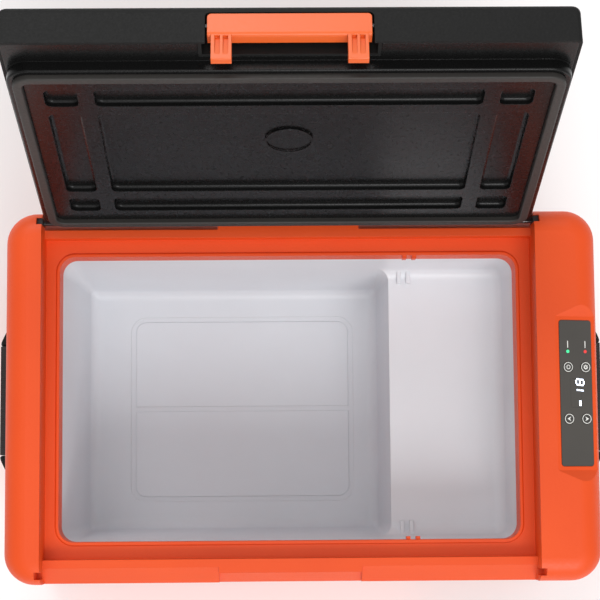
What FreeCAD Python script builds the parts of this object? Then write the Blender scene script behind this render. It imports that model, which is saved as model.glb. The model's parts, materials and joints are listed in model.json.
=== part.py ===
import FreeCAD, Part
import math
import os

import Sketcher

# Compressor cooler fridge, millimetres, +Z up.
# Origin: centre of the cabinet's footprint on the floor. +X is the control panel's end,
# +Y the hinge side. The lid is drawn shut and then turned open about its hinge line.

SIZES = {
    # cabinet
    "body_length": 580, "body_width": 363, "corner_radius": 30, "skin": 3, "floor_gap": 10,
    "fit_gap": 0.3, "tray_top": 22, "split_height": 232, "shoulder_top": 316, "shoulder_round": 22,
    "shoulder_left": 36, "shoulder_right": 61,
    # lid bay of the top frame
    "rail_height": 290, "ledge_height": 274, "rail_inner": 158, "rail_outer": 166, "rail_slope": 52,
    "notch_from": -82.5, "notch_to": 57.5, "notch_start": 165.2, "notch_slope": 63,
    "strike_reach": 171.6, "strike_thick": 4.5, "hinge_y": 172.5, "hinge_z": 292, "pocket_width": 7,
    "pocket_depth": 5.5, "pocket_drop": 30,
    # opening and tub
    "mouth_left": -240.2, "mouth_right": 214.6, "mouth_half": 141.2, "mouth_radius": 15,
    "bead_width": 3.6, "bead_height": 1.6, "lip_bottom": 246, "lip_wall": 3, "tub_wall": 2,
    "tub_floor": 56, "tub_draft": 3, "tub_round": 12, "flange_reach": 9, "flange_thick": 2.4,
    "step_edge": 93, "step_height": 181, "divider_x": 104, "divider_pitch": 9.6,
    "divider_width": 4, "divider_reach": 3.2, "divider_low": 262, "tub_rib_height": 5,
    "tub_rib_extra": 14.8, "emboss_left": -186, "emboss_right": 60, "emboss_half": 102,
    "emboss_radius": 17, "emboss_width": 5.5, "emboss_depth": 0.7,
    # lid, drawn shut
    "lid_open": 106, "lid_gap": 1.5, "lid_rise": 35.5, "lid_seam": 1, "lid_round": 9,
    "lid_skin": 2.6, "lid_rear": 7.4, "corner_lid": 3.5, "rear_clear": 5, "lid_strike_gap": 4,
    "bush_rise": 14, "plug_gap": 4.4, "plug_half": 152, "plug_round": 20, "plug_drop": 11,
    "gasket_width": 8.3, "gasket_half": 147, "gasket_inset": 5, "gasket_bite": 1.2,
    "gasket_lift": 0.4, "dish_depth": 6, "dish_gap": 14, "dish_side": 28.5, "dish_x_half": 208.5,
    "dish_y_half": 119.5, "dish_round": 6, "dish_soft": 3, "port_radius": 21, "port_offset": 18,
    "port_thick": 1.4, "hinge_pin_radius": 2.2, "running_gap": 0.05, "hinge_pin_root": 12,
    # latch
    "latch_gap": 1.2, "latch_recess": 20, "latch_roof": 27.2, "finger_side": 3, "finger_height": 18,
    "relief_height": 5, "latch_top": 26, "latch_low": 5.9, "latch_pivot_in": 4.5, "latch_thick": 13,
    "latch_pivot_n": 17, "latch_pin_radius": 1.6, "leg_width": 17, "leg_in": 3, "leg_rib": 3.2,
    "leg_channel": 4.2, "leg_channel_deep": 3.2, "leg_drop": 16.3, "hook_gap": 0.4,
    # control panel
    "panel_from": 247, "panel_tilt": 15, "panel_cut_half": 75, "panel_scoop": 60, "scoop_reach": 15,
    "panel_half": 71, "panel_near": 4, "panel_across": 33.5, "panel_thick": 2.4, "panel_gap": 0.3,
    "key_radius": 5, "key_gap": 0.35, "key_near": 12.6, "key_far": 31, "key_y": 25.2,
    "key_thick": 3.4, "window_near": 15, "window_across": 11, "window_half": 14, "led_radius": 1.6,
    "led_y": 40.5,
    # handles
    "handle_half": 71, "handle_arm": 16, "pin_end": 62.6, "slant_long": 13, "slant_deep": 6.5,
    "handle_reach": 12.5, "handle_drop": 56, "handle_bar": 15, "handle_gap": 0.6,
    "handle_pivot_z": 240, "handle_pin_radius": 2.6, "bracket_half": 54.4,
    # feet and fasteners
    "foot_radius": 13, "foot_inset_x": 52, "foot_inset_y": 44, "screw_radius": 3.2,
    "screw_head": 2.2, "screw_sink": 4,
    # compressor compartment
    "bay_wall_x": 104, "bay_top": 166, "sheet_thick": 1.5, "grommet_height": 7, "pump_leg": 40,
    "pump_round": 14, "bolt_radius": 2.6, "module_y": -170, "module_z": 30, "module_long": 96,
    "module_tall": 62, "standoff": 6, "loom_radius": 2.5, "loom_x": 270, "loom_y": -120,
    "probe_radius": 3, "pump_x": 158, "pump_y": 62, "pump_radius": 42, "pump_height": 86,
    "pump_foot": 58, "foot_plate": 2, "condenser_x": 216, "condenser_thick": 20,
    "condenser_half": 66, "condenser_low": 34, "condenser_high": 142, "fin_pitch": 6.6,
    "fin_thick": 0.8, "coil_tube": 3, "fan_x": 242, "fan_size": 92, "fan_depth": 25, "fan_hub": 18,
    "fan_blades": 7, "fan_y": 0, "fan_z": 88, "evap_low": 80, "evap_high": 170, "evap_plate": 1.2,
    "evap_tube": 6, "evap_right": 80, "socket_y": 120, "socket_z": 60, "socket_half": 26,
    "socket_tall": 15, "vent_half_y": 62, "vent_low": 44, "vent_high": 150, "louvre_pitch": 9,
    "louvre_thick": 2.4, "side_vent_from": 138, "side_vent_to": 246,
}

DOC = FreeCAD.newDocument("CoolerFridge")
NODES = []
Vector = FreeCAD.Vector


class Size:
    """A number and the spreadsheet expression that drives it."""

    def __init__(self, value, text):
        self.value = float(value)
        self.text = text

    def __add__(self, other):
        other = as_size(other)
        return Size(self.value + other.value, f"({self.text} + {other.text})")

    def __radd__(self, other):
        return as_size(other) + self

    def __sub__(self, other):
        other = as_size(other)
        return Size(self.value - other.value, f"({self.text} - {other.text})")

    def __rsub__(self, other):
        return as_size(other) - self

    def __mul__(self, other):
        other = as_size(other)
        return Size(self.value * other.value, f"({self.text} * {other.text})")

    def __rmul__(self, other):
        return as_size(other) * self

    def __truediv__(self, other):
        other = as_size(other)
        return Size(self.value / other.value, f"({self.text} / {other.text})")

    def __neg__(self):
        return 0 - self


def as_size(value):
    """Return value as a Size; a plain number becomes a constant."""
    if isinstance(value, Size):
        return value
    return Size(value, f"({value})")


def trig(function, angle):
    """sin, cos or tan of an angle in degrees, as a Size."""
    angle = as_size(angle)
    value = getattr(math, function)(math.radians(angle.value))
    return Size(value, f"{function}({angle.text} * 1 deg)")


class Sheet:
    """The spreadsheet of driving sizes; each alias reads as a Size."""

    def __init__(self, values):
        self.sheet = DOC.addObject("Spreadsheet::Sheet", "Sizes")
        for row, (alias, number) in enumerate(values.items(), start=1):
            self.sheet.set(f"A{row}", alias)
            self.sheet.set(f"B{row}", str(number))
            self.sheet.setAlias(f"B{row}", alias)
        DOC.recompute()

    def __getattr__(self, alias):
        return Size(self.sheet.get(alias), f"Sizes.{alias}")


S = Sheet(SIZES)


# ---------------------------------------------------------------- drawing helpers

def bind(thing, prop, size):
    """Drive one property of an object from the spreadsheet."""
    thing.setExpression(prop, as_size(size).text)


def keep(thing, label):
    """Name a finished sub-part and list it for export."""
    thing.Label = label
    NODES.append(thing)
    return thing


def box(x, y, z, name="Block"):
    """A block from three (low, high) pairs."""
    block = DOC.addObject("Part::Box", name)
    for prop, (low, high) in zip(("Length", "Width", "Height"), (x, y, z)):
        bind(block, prop, as_size(high) - low)
    for axis, (low, high) in zip("xyz", (x, y, z)):
        bind(block, f"Placement.Base.{axis}", low)
    return block


TURN = {"x": FreeCAD.Rotation(Vector(0, 1, 0), 90), "y": FreeCAD.Rotation(Vector(1, 0, 0), -90),
        "z": FreeCAD.Rotation()}


def rod(axis, start, radius, length, name="Rod"):
    """A cylinder from a start point along +x, +y or +z."""
    cylinder = DOC.addObject("Part::Cylinder", name)
    cylinder.Placement = FreeCAD.Placement(Vector(), TURN[axis])
    bind(cylinder, "Radius", radius)
    bind(cylinder, "Height", length)
    for letter, place in zip("xyz", start):
        bind(cylinder, f"Placement.Base.{letter}", place)
    return cylinder


def cut(base, *tools, name="Cut"):
    """base with each tool taken away."""
    tool = tools[0] if len(tools) == 1 else fuse(*tools)
    result = DOC.addObject("Part::Cut", name)
    result.Base = base
    result.Tool = tool
    return result


def fuse(*members, name="Fuse"):
    """One solid made from overlapping or touching members."""
    if len(members) == 1:
        return members[0]
    result = DOC.addObject("Part::MultiFuse", name)
    result.Shapes = list(members)
    return result


def common(first, second, name="Common"):
    """The space that two solids share."""
    result = DOC.addObject("Part::MultiCommon", name)
    result.Shapes = [first, second]
    return result


def group(members, name="Group"):
    """Separate solids that share one node."""
    result = DOC.addObject("Part::Compound", name)
    result.Links = list(members)
    return result


def rounded(base, radius, wanted, name="Rounded"):
    """base with every edge rounded that wanted(edge) accepts."""
    DOC.recompute()
    numbers = [i for i, edge in enumerate(base.Shape.Edges, start=1) if wanted(edge)]
    result = DOC.addObject("Part::Fillet", name)
    result.Base = base
    value = as_size(radius).value
    result.Edges = [(i, value, value) for i in numbers]
    return result


def body(name):
    """A PartDesign body."""
    return DOC.addObject("PartDesign::Body", name)


def sketch(owner, plane, offset=0):
    """A sketch on one of the body's own planes, lifted along the plane's normal."""
    face = next(item for item in owner.Origin.OriginFeatures if item.Role == plane)
    drawing = owner.newObject("Sketcher::SketchObject", "Sketch")
    drawing.AttachmentSupport = (face, [""])
    drawing.MapMode = "FlatFace"
    bind(drawing, "AttachmentOffset.Base.z", offset)
    return drawing


def measure(drawing, kind, first, second, size):
    """Fix a signed horizontal or vertical distance from the origin to a sketch point."""
    size = as_size(size)
    ends = (-1, 1, first, second) if size.value >= 0 else (first, second, -1, 1)
    number = drawing.addConstraint(Sketcher.Constraint(kind, *ends, abs(size.value)))
    driver = size if size.value >= 0 else -size
    drawing.setExpression(f"Constraints[{number}]", driver.text)


def outline(drawing, points):
    """A closed outline of straight lines through points, each point fixed by its sizes."""
    base = drawing.GeometryCount
    spots = [Vector(as_size(x).value, as_size(y).value, 0) for x, y in points]
    count = len(spots)
    for i in range(count):
        drawing.addGeometry(Part.LineSegment(spots[i], spots[(i + 1) % count]))
    for i in range(count):
        drawing.addConstraint(Sketcher.Constraint("Coincident", base + i, 2, base + (i + 1) % count, 1))
    for i, (x, y) in enumerate(points):
        measure(drawing, "DistanceX", base + i, 1, x)
        measure(drawing, "DistanceY", base + i, 1, y)


def rounded_outline(drawing, x, y, radius):
    """A rectangle from (low, high) pairs with four equal corner arcs."""
    base = drawing.GeometryCount
    (left, right), (low, high) = x, y
    x0, x1, y0, y1, r = (as_size(item).value for item in (left, right, low, high, radius))
    quarter = math.pi / 2

    def arc(cx, cy, turn):
        circle = Part.Circle(Vector(cx, cy, 0), Vector(0, 0, 1), r)
        return Part.ArcOfCircle(circle, turn * quarter, (turn + 1) * quarter)

    drawing.addGeometry(Part.LineSegment(Vector(x0 + r, y0, 0), Vector(x1 - r, y0, 0)))
    drawing.addGeometry(arc(x1 - r, y0 + r, 3))
    drawing.addGeometry(Part.LineSegment(Vector(x1, y0 + r, 0), Vector(x1, y1 - r, 0)))
    drawing.addGeometry(arc(x1 - r, y1 - r, 0))
    drawing.addGeometry(Part.LineSegment(Vector(x1 - r, y1, 0), Vector(x0 + r, y1, 0)))
    drawing.addGeometry(arc(x0 + r, y1 - r, 1))
    drawing.addGeometry(Part.LineSegment(Vector(x0, y1 - r, 0), Vector(x0, y0 + r, 0)))
    drawing.addGeometry(arc(x0 + r, y0 + r, 2))
    for i in range(8):
        drawing.addConstraint(Sketcher.Constraint("Tangent", base + i, 2, base + (i + 1) % 8, 1))
    for i in (0, 4):
        drawing.addConstraint(Sketcher.Constraint("Horizontal", base + i))
    for i in (2, 6):
        drawing.addConstraint(Sketcher.Constraint("Vertical", base + i))
    for i in (3, 5, 7):
        drawing.addConstraint(Sketcher.Constraint("Equal", base + 1, base + i))
    number = drawing.addConstraint(Sketcher.Constraint("Radius", base + 1, r))
    drawing.setExpression(f"Constraints[{number}]", as_size(radius).text)
    measure(drawing, "DistanceX", base + 2, 1, right)
    measure(drawing, "DistanceX", base + 6, 1, left)
    measure(drawing, "DistanceY", base, 1, low)
    measure(drawing, "DistanceY", base + 4, 1, high)


def pad(owner, drawing, length, flip=False, draft=0):
    """Raise a sketch into a solid; flip raises it against the plane's normal."""
    feature = owner.newObject("PartDesign::Pad", "Pad")
    feature.Profile = drawing
    feature.Reversed = flip
    bind(feature, "Length", length)
    if as_size(draft).value:
        bind(feature, "TaperAngle", draft)
    DOC.recompute()
    return feature


def pocket(owner, drawing, length, flip=False):
    """Sink a sketch into the solid; flip sinks it along the plane's normal."""
    before = owner.Shape.Volume
    feature = owner.newObject("PartDesign::Pocket", "Pocket")
    feature.Profile = drawing
    feature.Reversed = flip
    bind(feature, "Length", length)
    DOC.recompute()
    if owner.Shape.Volume > before - 0.01:
        raise ValueError(f"{owner.Name}: a pocket cut nothing")
    return feature


def soften(owner, feature, radius, wanted):
    """Round the edges of a body's last feature that wanted(edge) accepts."""
    DOC.recompute()
    names = [f"Edge{i}" for i, edge in enumerate(feature.Shape.Edges, start=1) if wanted(edge)]
    fillet = owner.newObject("PartDesign::Fillet", "Fillet")
    fillet.Base = (feature, names)
    bind(fillet, "Radius", radius)
    DOC.recompute()
    return fillet


def at_height(z, slack=0.01):
    """Test for edges that lie wholly in one level plane."""
    level = as_size(z).value
    return lambda edge: (abs(edge.BoundBox.ZMin - level) < slack
                         and abs(edge.BoundBox.ZMax - level) < slack)


def slab(name, x, y, z, radius, soft=None, draft=0):
    """A rounded-corner slab from (low, high) pairs; soft rounds its top edge."""
    owner = body(name)
    drawing = sketch(owner, "XY_Plane", z[0])
    rounded_outline(drawing, x, y, radius)
    feature = pad(owner, drawing, as_size(z[1]) - z[0], draft=draft)
    if soft is not None:
        soften(owner, feature, soft, at_height(z[1]))
    return owner


def run_x(name, start, end, points):
    """A solid of one constant section in Y and Z, from start to end along X."""
    owner = body(name)
    drawing = sketch(owner, "YZ_Plane", start)
    outline(drawing, points)
    pad(owner, drawing, as_size(end) - start)
    return owner


# ---------------------------------------------------------------- cabinet

HALF_X = S.body_length / 2
HALF_Y = S.body_width / 2
BAY_LEFT = S.shoulder_left - HALF_X
BAY_RIGHT = HALF_X - S.shoulder_right
HIGH = S.shoulder_top + 20
WIDE = HALF_Y + 20


def bay_section(flat, start, slope, inset):
    """Outline of the space over the ledge, the rails and their outward slopes."""
    half_turn = trig("tan", slope / 2)
    top = S.rail_height - inset
    edge = start - inset * half_turn
    fall = (WIDE - edge) * trig("tan", slope)
    inner = flat + inset
    ledge = S.ledge_height - inset
    right = [(inner, ledge), (inner, top), (edge, top), (WIDE, top - fall), (WIDE, HIGH)]
    return right + [(-as_size(y), z) for y, z in reversed(right)]


def frame_form(name, inset):
    """The top frame's block with its lid bay, shrunk by inset on every face."""
    owner = body(name)
    top = S.shoulder_top - inset
    radius = S.corner_radius - inset
    drawing = sketch(owner, "XY_Plane", S.split_height)
    rounded_outline(drawing, (inset - HALF_X, HALF_X - inset), (inset - HALF_Y, HALF_Y - inset), radius)
    block = pad(owner, drawing, top - S.split_height)
    soften(owner, block, S.shoulder_round - inset, at_height(top))
    main = bay_section(S.rail_inner, S.rail_outer, S.rail_slope, inset)
    notch = bay_section(S.rail_inner, S.notch_start, S.notch_slope, inset)
    spans = [(BAY_LEFT - inset, S.notch_from - inset, main),
             (S.notch_from - inset, S.notch_to + inset, notch),
             (S.notch_to + inset, BAY_RIGHT + inset, main)]
    for start, end, points in spans:
        drawing = sketch(owner, "YZ_Plane", start)
        outline(drawing, points)
        pocket(owner, drawing, end - start, flip=True)
    return owner


def mouth(grow, low, high, name):
    """A straight plug through the food opening."""
    return slab(name, (S.mouth_left - grow, S.mouth_right + grow),
                (-S.mouth_half - grow, S.mouth_half + grow), (low, high), S.mouth_radius + grow)


def panel_place(near, z_lift=0):
    """Point on the sloped control facet, near its upper edge, as X and Z sizes."""
    x = S.panel_from + near * trig("cos", S.panel_tilt) + z_lift * trig("sin", S.panel_tilt)
    z = S.shoulder_top - near * trig("sin", S.panel_tilt) + z_lift * trig("cos", S.panel_tilt)
    return x, z


def tilted(thing, near, y, lift):
    """Lay an object made at the origin on the sloped facet."""
    x, z = panel_place(as_size(near), as_size(lift))
    thing.Placement = FreeCAD.Placement(Vector(), FreeCAD.Rotation(Vector(0, 1, 0), S.panel_tilt.value))
    for letter, place in zip("xyz", (x, y, z)):
        bind(thing, f"Placement.Base.{letter}", place)
    return thing


def hinge_slot(x_low, x_high, side, grow=0):
    """The upright slot in a shoulder wall that takes a lid pin."""
    middle = side * S.hinge_y
    half = S.pocket_width / 2 + grow
    low = S.shoulder_top - S.pocket_drop - grow
    return box((x_low, x_high), (middle - half, middle + half), (low, HIGH), "Slot")


SHARED = {}


def shared(name, make):
    """Make a helper solid once and reuse it."""
    if name not in SHARED:
        SHARED[name] = make()
    return SHARED[name]


def trimmed(thing):
    """A wall added inside the top frame, kept within its outer skin."""
    form = shared("frame_trim", lambda: frame_form("FrameTrim", as_size(0.4)))
    return common(thing, form, name="Trimmed")


def across(side, near, far):
    """A (low, high) pair in Y for the front (-1) or the back (1), from near to far of Y = 0."""
    return (near * side, far * side) if side > 0 else (-as_size(far), -as_size(near))


def facet_slab(name, near, half, lift, radius, draft=0):
    """A rounded slab lying on the facet: near and lift are (low, high) pairs."""
    owner = slab(name, (0, as_size(near[1]) - near[0]), (-half, half),
                 (0, as_size(lift[1]) - lift[0]), radius, draft=draft)
    return tilted(owner, near[0], 0, lift[0])


def slot_walls():
    """Walls round the four hinge slots inside the shoulders."""
    walls = []
    for side in (-1, 1):
        middle = side * S.hinge_y
        half = S.pocket_width / 2 + S.skin
        for start in (BAY_LEFT - S.pocket_depth - S.skin, BAY_RIGHT):
            wall = box((start, start + S.pocket_depth + S.skin), (middle - half, middle + half),
                       (S.shoulder_top - S.pocket_drop - S.skin, S.shoulder_top - 1), "SlotWall")
            walls.append(trimmed(wall))
    return walls


def divider_boxes(low, high, reach, root):
    """Small upright ribs in pairs, front and back, that locate a divider."""
    ribs = []
    for i in range(2):
        middle = S.divider_x + i * S.divider_pitch
        for side in (-1, 1):
            ribs.append(box((middle - S.divider_width / 2, middle + S.divider_width / 2),
                            across(side, S.mouth_half - reach, S.mouth_half + root), (low, high),
                            "DividerRib"))
    return ribs


def top_frame():
    """Orange frame: shoulders, rails, ledge, bead, lip, latch strikes and hinge slots."""
    shell = cut(frame_form("FrameOuter", as_size(0)), frame_form("FrameInner", S.skin), name="FrameShell")
    bead_top = S.ledge_height + S.bead_height
    members = [shell, mouth(S.lip_wall, S.lip_bottom, S.ledge_height, "Lip")]
    bead = mouth(S.bead_width, S.ledge_height - 1, bead_top, "Bead")
    soften(bead, bead.Tip, S.bead_height * 0.9, at_height(bead_top))
    members.append(bead)
    for side in (-1, 1):
        members.append(box((S.notch_from, S.notch_to), across(side, S.rail_inner + 2, S.strike_reach),
                           (S.rail_height - S.strike_thick, S.rail_height), "Strike"))
    members += slot_walls()
    members.append(trimmed(facet_slab("PanelBacking", (-6, 60), S.panel_cut_half + S.scoop_reach,
                                      (-S.panel_thick - S.skin, S.scoop_reach / 2), 2)))
    blank = fuse(*members, name="FrameBlank")
    edge = S.panel_gap
    tools = [mouth(as_size(0), S.lip_bottom - 5, HIGH, "Mouth"),
             facet_slab("Facet", (0, 90), S.panel_cut_half, (0, 12), 2, draft=S.panel_scoop),
             facet_slab("PanelRecess", (S.panel_near - edge, S.panel_near + S.panel_across + edge),
                        S.panel_half + edge, (-S.panel_thick, 30), S.skin)]
    for side in (-1, 1):
        tools.append(hinge_slot(BAY_LEFT - S.pocket_depth, BAY_LEFT + 1, side))
        tools.append(hinge_slot(BAY_RIGHT - 1, BAY_RIGHT + S.pocket_depth, side))
    frame = cut(blank, *tools, name="FrameCut")
    ribs = divider_boxes(S.divider_low, S.ledge_height, S.divider_reach, as_size(1))
    keep(fuse(frame, *ribs, name="TopFrame"), "top_frame")


def outer_casing():
    """Orange wall of the cabinet with its vent and socket openings."""
    blank = slab("CasingOuter", (-HALF_X, HALF_X), (-HALF_Y, HALF_Y),
                 (S.floor_gap, S.split_height), S.corner_radius)
    inside = slab("CasingInner", (S.skin - HALF_X, HALF_X - S.skin), (S.skin - HALF_Y, HALF_Y - S.skin),
                  (0, S.split_height + 1), S.corner_radius - S.skin)
    side_vent = (S.side_vent_from, S.side_vent_to)
    tall = (S.vent_low, S.vent_high)
    openings = [box((HALF_X - 10, HALF_X + 1), (-S.vent_half_y, S.vent_half_y), tall, "VentEnd"),
                box(side_vent, (-HALF_Y - 1, 10 - HALF_Y), tall, "VentFront"),
                box(side_vent, (HALF_Y - 10, HALF_Y + 1), tall, "VentBack"),
                box((HALF_X - 10, HALF_X + 1), (S.socket_y - S.socket_half, S.socket_y + S.socket_half),
                    (S.socket_z - S.socket_tall, S.socket_z + S.socket_tall), "SocketHole")]
    keep(cut(blank, inside, *openings, name="OuterCasing"), "outer_casing")


def base_tray():
    """Dark pan that closes the bottom, with an upstand inside the casing."""
    gap = S.skin + S.fit_gap
    wall = gap + S.skin
    plate = slab("TrayPlate", (gap - HALF_X, HALF_X - gap), (gap - HALF_Y, HALF_Y - gap),
                 (S.floor_gap, S.tray_top), S.corner_radius - gap)
    well = slab("TrayWell", (wall - HALF_X, HALF_X - wall), (wall - HALF_Y, HALF_Y - wall),
                (S.floor_gap + S.skin, S.tray_top + 1), S.corner_radius - wall)
    keep(cut(plate, well, name="BaseTray"), "base_tray")


def feet():
    """Four rubber feet, each with a screw sunk into its underside."""
    pads = []
    screws = []
    for side_x in (-1, 1):
        for side_y in (-1, 1):
            x = side_x * (HALF_X - S.foot_inset_x)
            y = side_y * (HALF_Y - S.foot_inset_y)
            foot = rod("z", (x, y, 0), S.foot_radius, S.floor_gap, "Foot")
            hole = rod("z", (x, y, -1), S.screw_radius + 1, S.screw_sink + S.screw_head + 1, "FootHole")
            pads.append(cut(foot, hole, name="FootPad"))
            screws.append(rod("z", (x, y, S.screw_sink), S.screw_radius, S.screw_head, "Screw"))
    keep(group(pads, "RubberFeet"), "rubber_feet")
    keep(group(screws, "FootScrews"), "foot_screws")


# ---------------------------------------------------------------- tub and insulation

def tub_form(name, grow):
    """The food space: a deep well on the left and a shallow shelf over the machinery."""
    parts = []
    lean = (S.lip_bottom - S.step_height) * trig("tan", S.tub_draft)
    runs = [("Shelf", S.mouth_right, S.step_height), ("Well", S.step_edge + lean, S.tub_floor)]
    for label, right, floor in runs:
        owner = body(name + label)
        drawing = sketch(owner, "XY_Plane", S.lip_bottom)
        rounded_outline(drawing, (S.mouth_left - grow, right + grow),
                        (-S.mouth_half - grow, S.mouth_half + grow),
                        S.mouth_radius + grow)
        deep = pad(owner, drawing, S.lip_bottom - floor + grow, flip=True, draft=-S.tub_draft)
        soften(owner, deep, S.tub_round + grow, at_height(floor - grow))
        parts.append(owner)
    return fuse(*parts, name=name)


def liner_tub():
    """White moulded tub with its flange, shelf, divider ribs and floor embossing."""
    outer = shared("tub", lambda: tub_form("TubOuter", S.tub_wall))
    inner = tub_form("TubInner", as_size(0))
    flange = mouth(S.flange_reach, S.lip_bottom - S.flange_thick, S.lip_bottom, "Flange")
    wide = S.emboss_width
    loop = body("Emboss")
    drawing = sketch(loop, "XY_Plane", S.tub_floor - S.emboss_depth)
    rounded_outline(drawing, (S.emboss_left, S.emboss_right), (-S.emboss_half, S.emboss_half),
                    S.emboss_radius)
    rounded_outline(drawing, (S.emboss_left + wide, S.emboss_right - wide),
                    (wide - S.emboss_half, S.emboss_half - wide), S.emboss_radius - wide)
    pad(loop, drawing, 3)
    line = box((S.emboss_left + wide, S.emboss_right - wide), (-wide / 2, wide / 2),
               (S.tub_floor - S.emboss_depth, S.tub_floor + 1), "MidLine")
    shell = cut(fuse(outer, flange, name="TubBlank"), inner, loop, line, name="TubShell")
    ribs = divider_boxes(S.step_height, S.step_height + S.tub_rib_height,
                         S.divider_reach + S.tub_rib_extra,
                         as_size(0))
    inside = [common(rib, inner, name="TubRib") for rib in ribs]
    keep(fuse(shell, *inside, name="LinerTub"), "liner_tub")


def evaporator():
    """Aluminium wrap and flat tube channels round the deep well."""
    tub = shared("tub", lambda: None)
    sleeve = tub_form("EvapSleeve", S.tub_wall + S.evap_plate)
    channel = tub_form("EvapChannel", S.tub_wall + S.evap_plate + S.evap_tube)
    wide_y = (-HALF_Y, HALF_Y)
    span_x = (-HALF_X, S.evap_right)
    band = box(span_x, wide_y, (S.evap_low, S.evap_high), "EvapBand")
    plate = cut(common(sleeve, band), tub, name="EvaporatorPlate")
    keep(plate, "evaporator_plate")
    levels = []
    for i in range(3):
        low = S.evap_low + S.evap_tube + i * (S.evap_high - S.evap_low - 3 * S.evap_tube) / 2
        levels.append(box(span_x, wide_y, (low, low + S.evap_tube), "ChannelBand"))
    riser = box((-S.evap_tube, 0), (0, HALF_Y), (S.evap_low + S.evap_tube, S.evap_high - S.evap_tube),
                "Riser")
    keep(cut(common(channel, fuse(*levels, riser)), sleeve, name="EvaporatorTube"), "evaporator_tube")
    SHARED["cold"] = fuse(common(channel, band), name="ColdRoom")


def foam_jacket():
    """Foamed-in insulation between casing and tub, cut back over the machinery bay."""
    gap = S.skin + S.fit_gap
    blank = slab("FoamBlank", (gap - HALF_X, HALF_X - gap), (gap - HALF_Y, HALF_Y - gap),
                 (S.tray_top + S.fit_gap, S.split_height), S.corner_radius - gap)
    room = box((S.bay_wall_x, HALF_X + 5), (-HALF_Y - 5, HALF_Y + 5), (0, S.bay_top + S.sheet_thick),
               "Bay")
    keep(cut(blank, shared("tub", lambda: None), SHARED["cold"], room, *SHARED["foam_tools"],
             name="FoamJacket"), "foam_jacket")


def sensor_and_loom():
    """Temperature probe under the tub and the loom from the bay up to the panel."""
    probe = rod("x", (-40, 0, S.tub_floor - S.tub_wall - S.probe_radius - S.fit_gap), S.probe_radius,
                30, "Probe")
    keep(probe, "temperature_sensor")
    start = S.bay_wall_x + S.sheet_thick + S.standoff + 24
    turn_z = S.module_z + S.module_tall + 16
    top = S.rail_height
    route = [(start, S.loom_y, turn_z - 20), (start, S.loom_y, turn_z), (S.loom_x, S.loom_y, turn_z),
             (S.loom_x, S.loom_y, top - 4), (S.loom_x, S.loom_y + 50, top - 4)]
    keep(pipe("ControlLoom", S.loom_radius.value, route, 12), "control_loom")
    sleeve = rod("z", (S.loom_x, S.loom_y, 0), S.loom_radius + 0.3, S.shoulder_top, "LoomSleeve")
    SHARED["foam_tools"] = [probe, sleeve]


def bay_bulkhead():
    """Bent sheet between the insulation and the machinery bay."""
    y = (S.skin + 1 - HALF_Y, HALF_Y - S.skin - 1)
    upright = box((S.bay_wall_x, S.bay_wall_x + S.sheet_thick), y, (S.tray_top + S.fit_gap, S.bay_top),
                  "Upright")
    roof = box((S.bay_wall_x, HALF_X - S.corner_radius), y, (S.bay_top - S.sheet_thick, S.bay_top),
               "Roof")
    keep(fuse(upright, roof, name="BayBulkhead"), "bay_bulkhead")



# ---------------------------------------------------------------- machinery bay

def compressor():
    """Compressor on its plate, with grommets, bolts, dryer and pipes."""
    floor = S.floor_gap + S.skin
    low = floor + S.foot_plate
    plate = box((S.pump_x - S.pump_foot + 8, S.pump_x + S.pump_foot - 8),
                (S.pump_y - S.pump_foot, S.pump_y + S.pump_foot), (floor, low), "PumpPlate")
    keep(plate, "compressor_plate")
    seat = low + S.grommet_height
    can = slab("PumpCan", (S.pump_x - S.pump_radius, S.pump_x + S.pump_radius),
               (S.pump_y - S.pump_radius, S.pump_y + S.pump_radius), (seat + 4, seat + S.pump_height),
               S.pump_radius - 0.5, soft=S.pump_round)
    legs = box((S.pump_x - S.pump_leg - 7, S.pump_x + S.pump_leg + 7),
               (S.pump_y - S.pump_leg - 7, S.pump_y + S.pump_leg + 7), (seat, seat + 4), "PumpLegs")
    spots = [(S.pump_x + a * S.pump_leg, S.pump_y + b * S.pump_leg) for a in (-1, 1) for b in (-1, 1)]
    holes = [rod("z", (x, y, seat - 1), S.bolt_radius + 0.4, 6, "LegHole") for x, y in spots]
    keep(cut(fuse(can, legs, name="PumpShape"), *holes, name="CompressorBody"), "compressor_body")
    rings = []
    bolts = []
    for x, y in spots:
        ring = rod("z", (x, y, low), S.bolt_radius + 4, S.grommet_height, "Grommet")
        rings.append(cut(ring, rod("z", (x, y, low - 1), S.bolt_radius + 0.2, S.grommet_height + 2),
                         name="Ring"))
        shank = rod("z", (x, y, low), S.bolt_radius, S.grommet_height + 4, "Shank")
        head = rod("z", (x, y, seat + 4), S.bolt_radius + 2.2, 3, "BoltHead")
        bolts.append(fuse(shank, head, name="Bolt"))
    keep(group(rings, "Grommets"), "compressor_grommets")
    keep(group(bolts, "Bolts"), "compressor_bolts")
    dryer_x = S.bay_wall_x + S.sheet_thick + 12
    dryer = slab("Dryer", (dryer_x - 8, dryer_x + 8), (-38, -22), (44, 124), 7.9, soft=4)
    keep(dryer, "filter_dryer")


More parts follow.
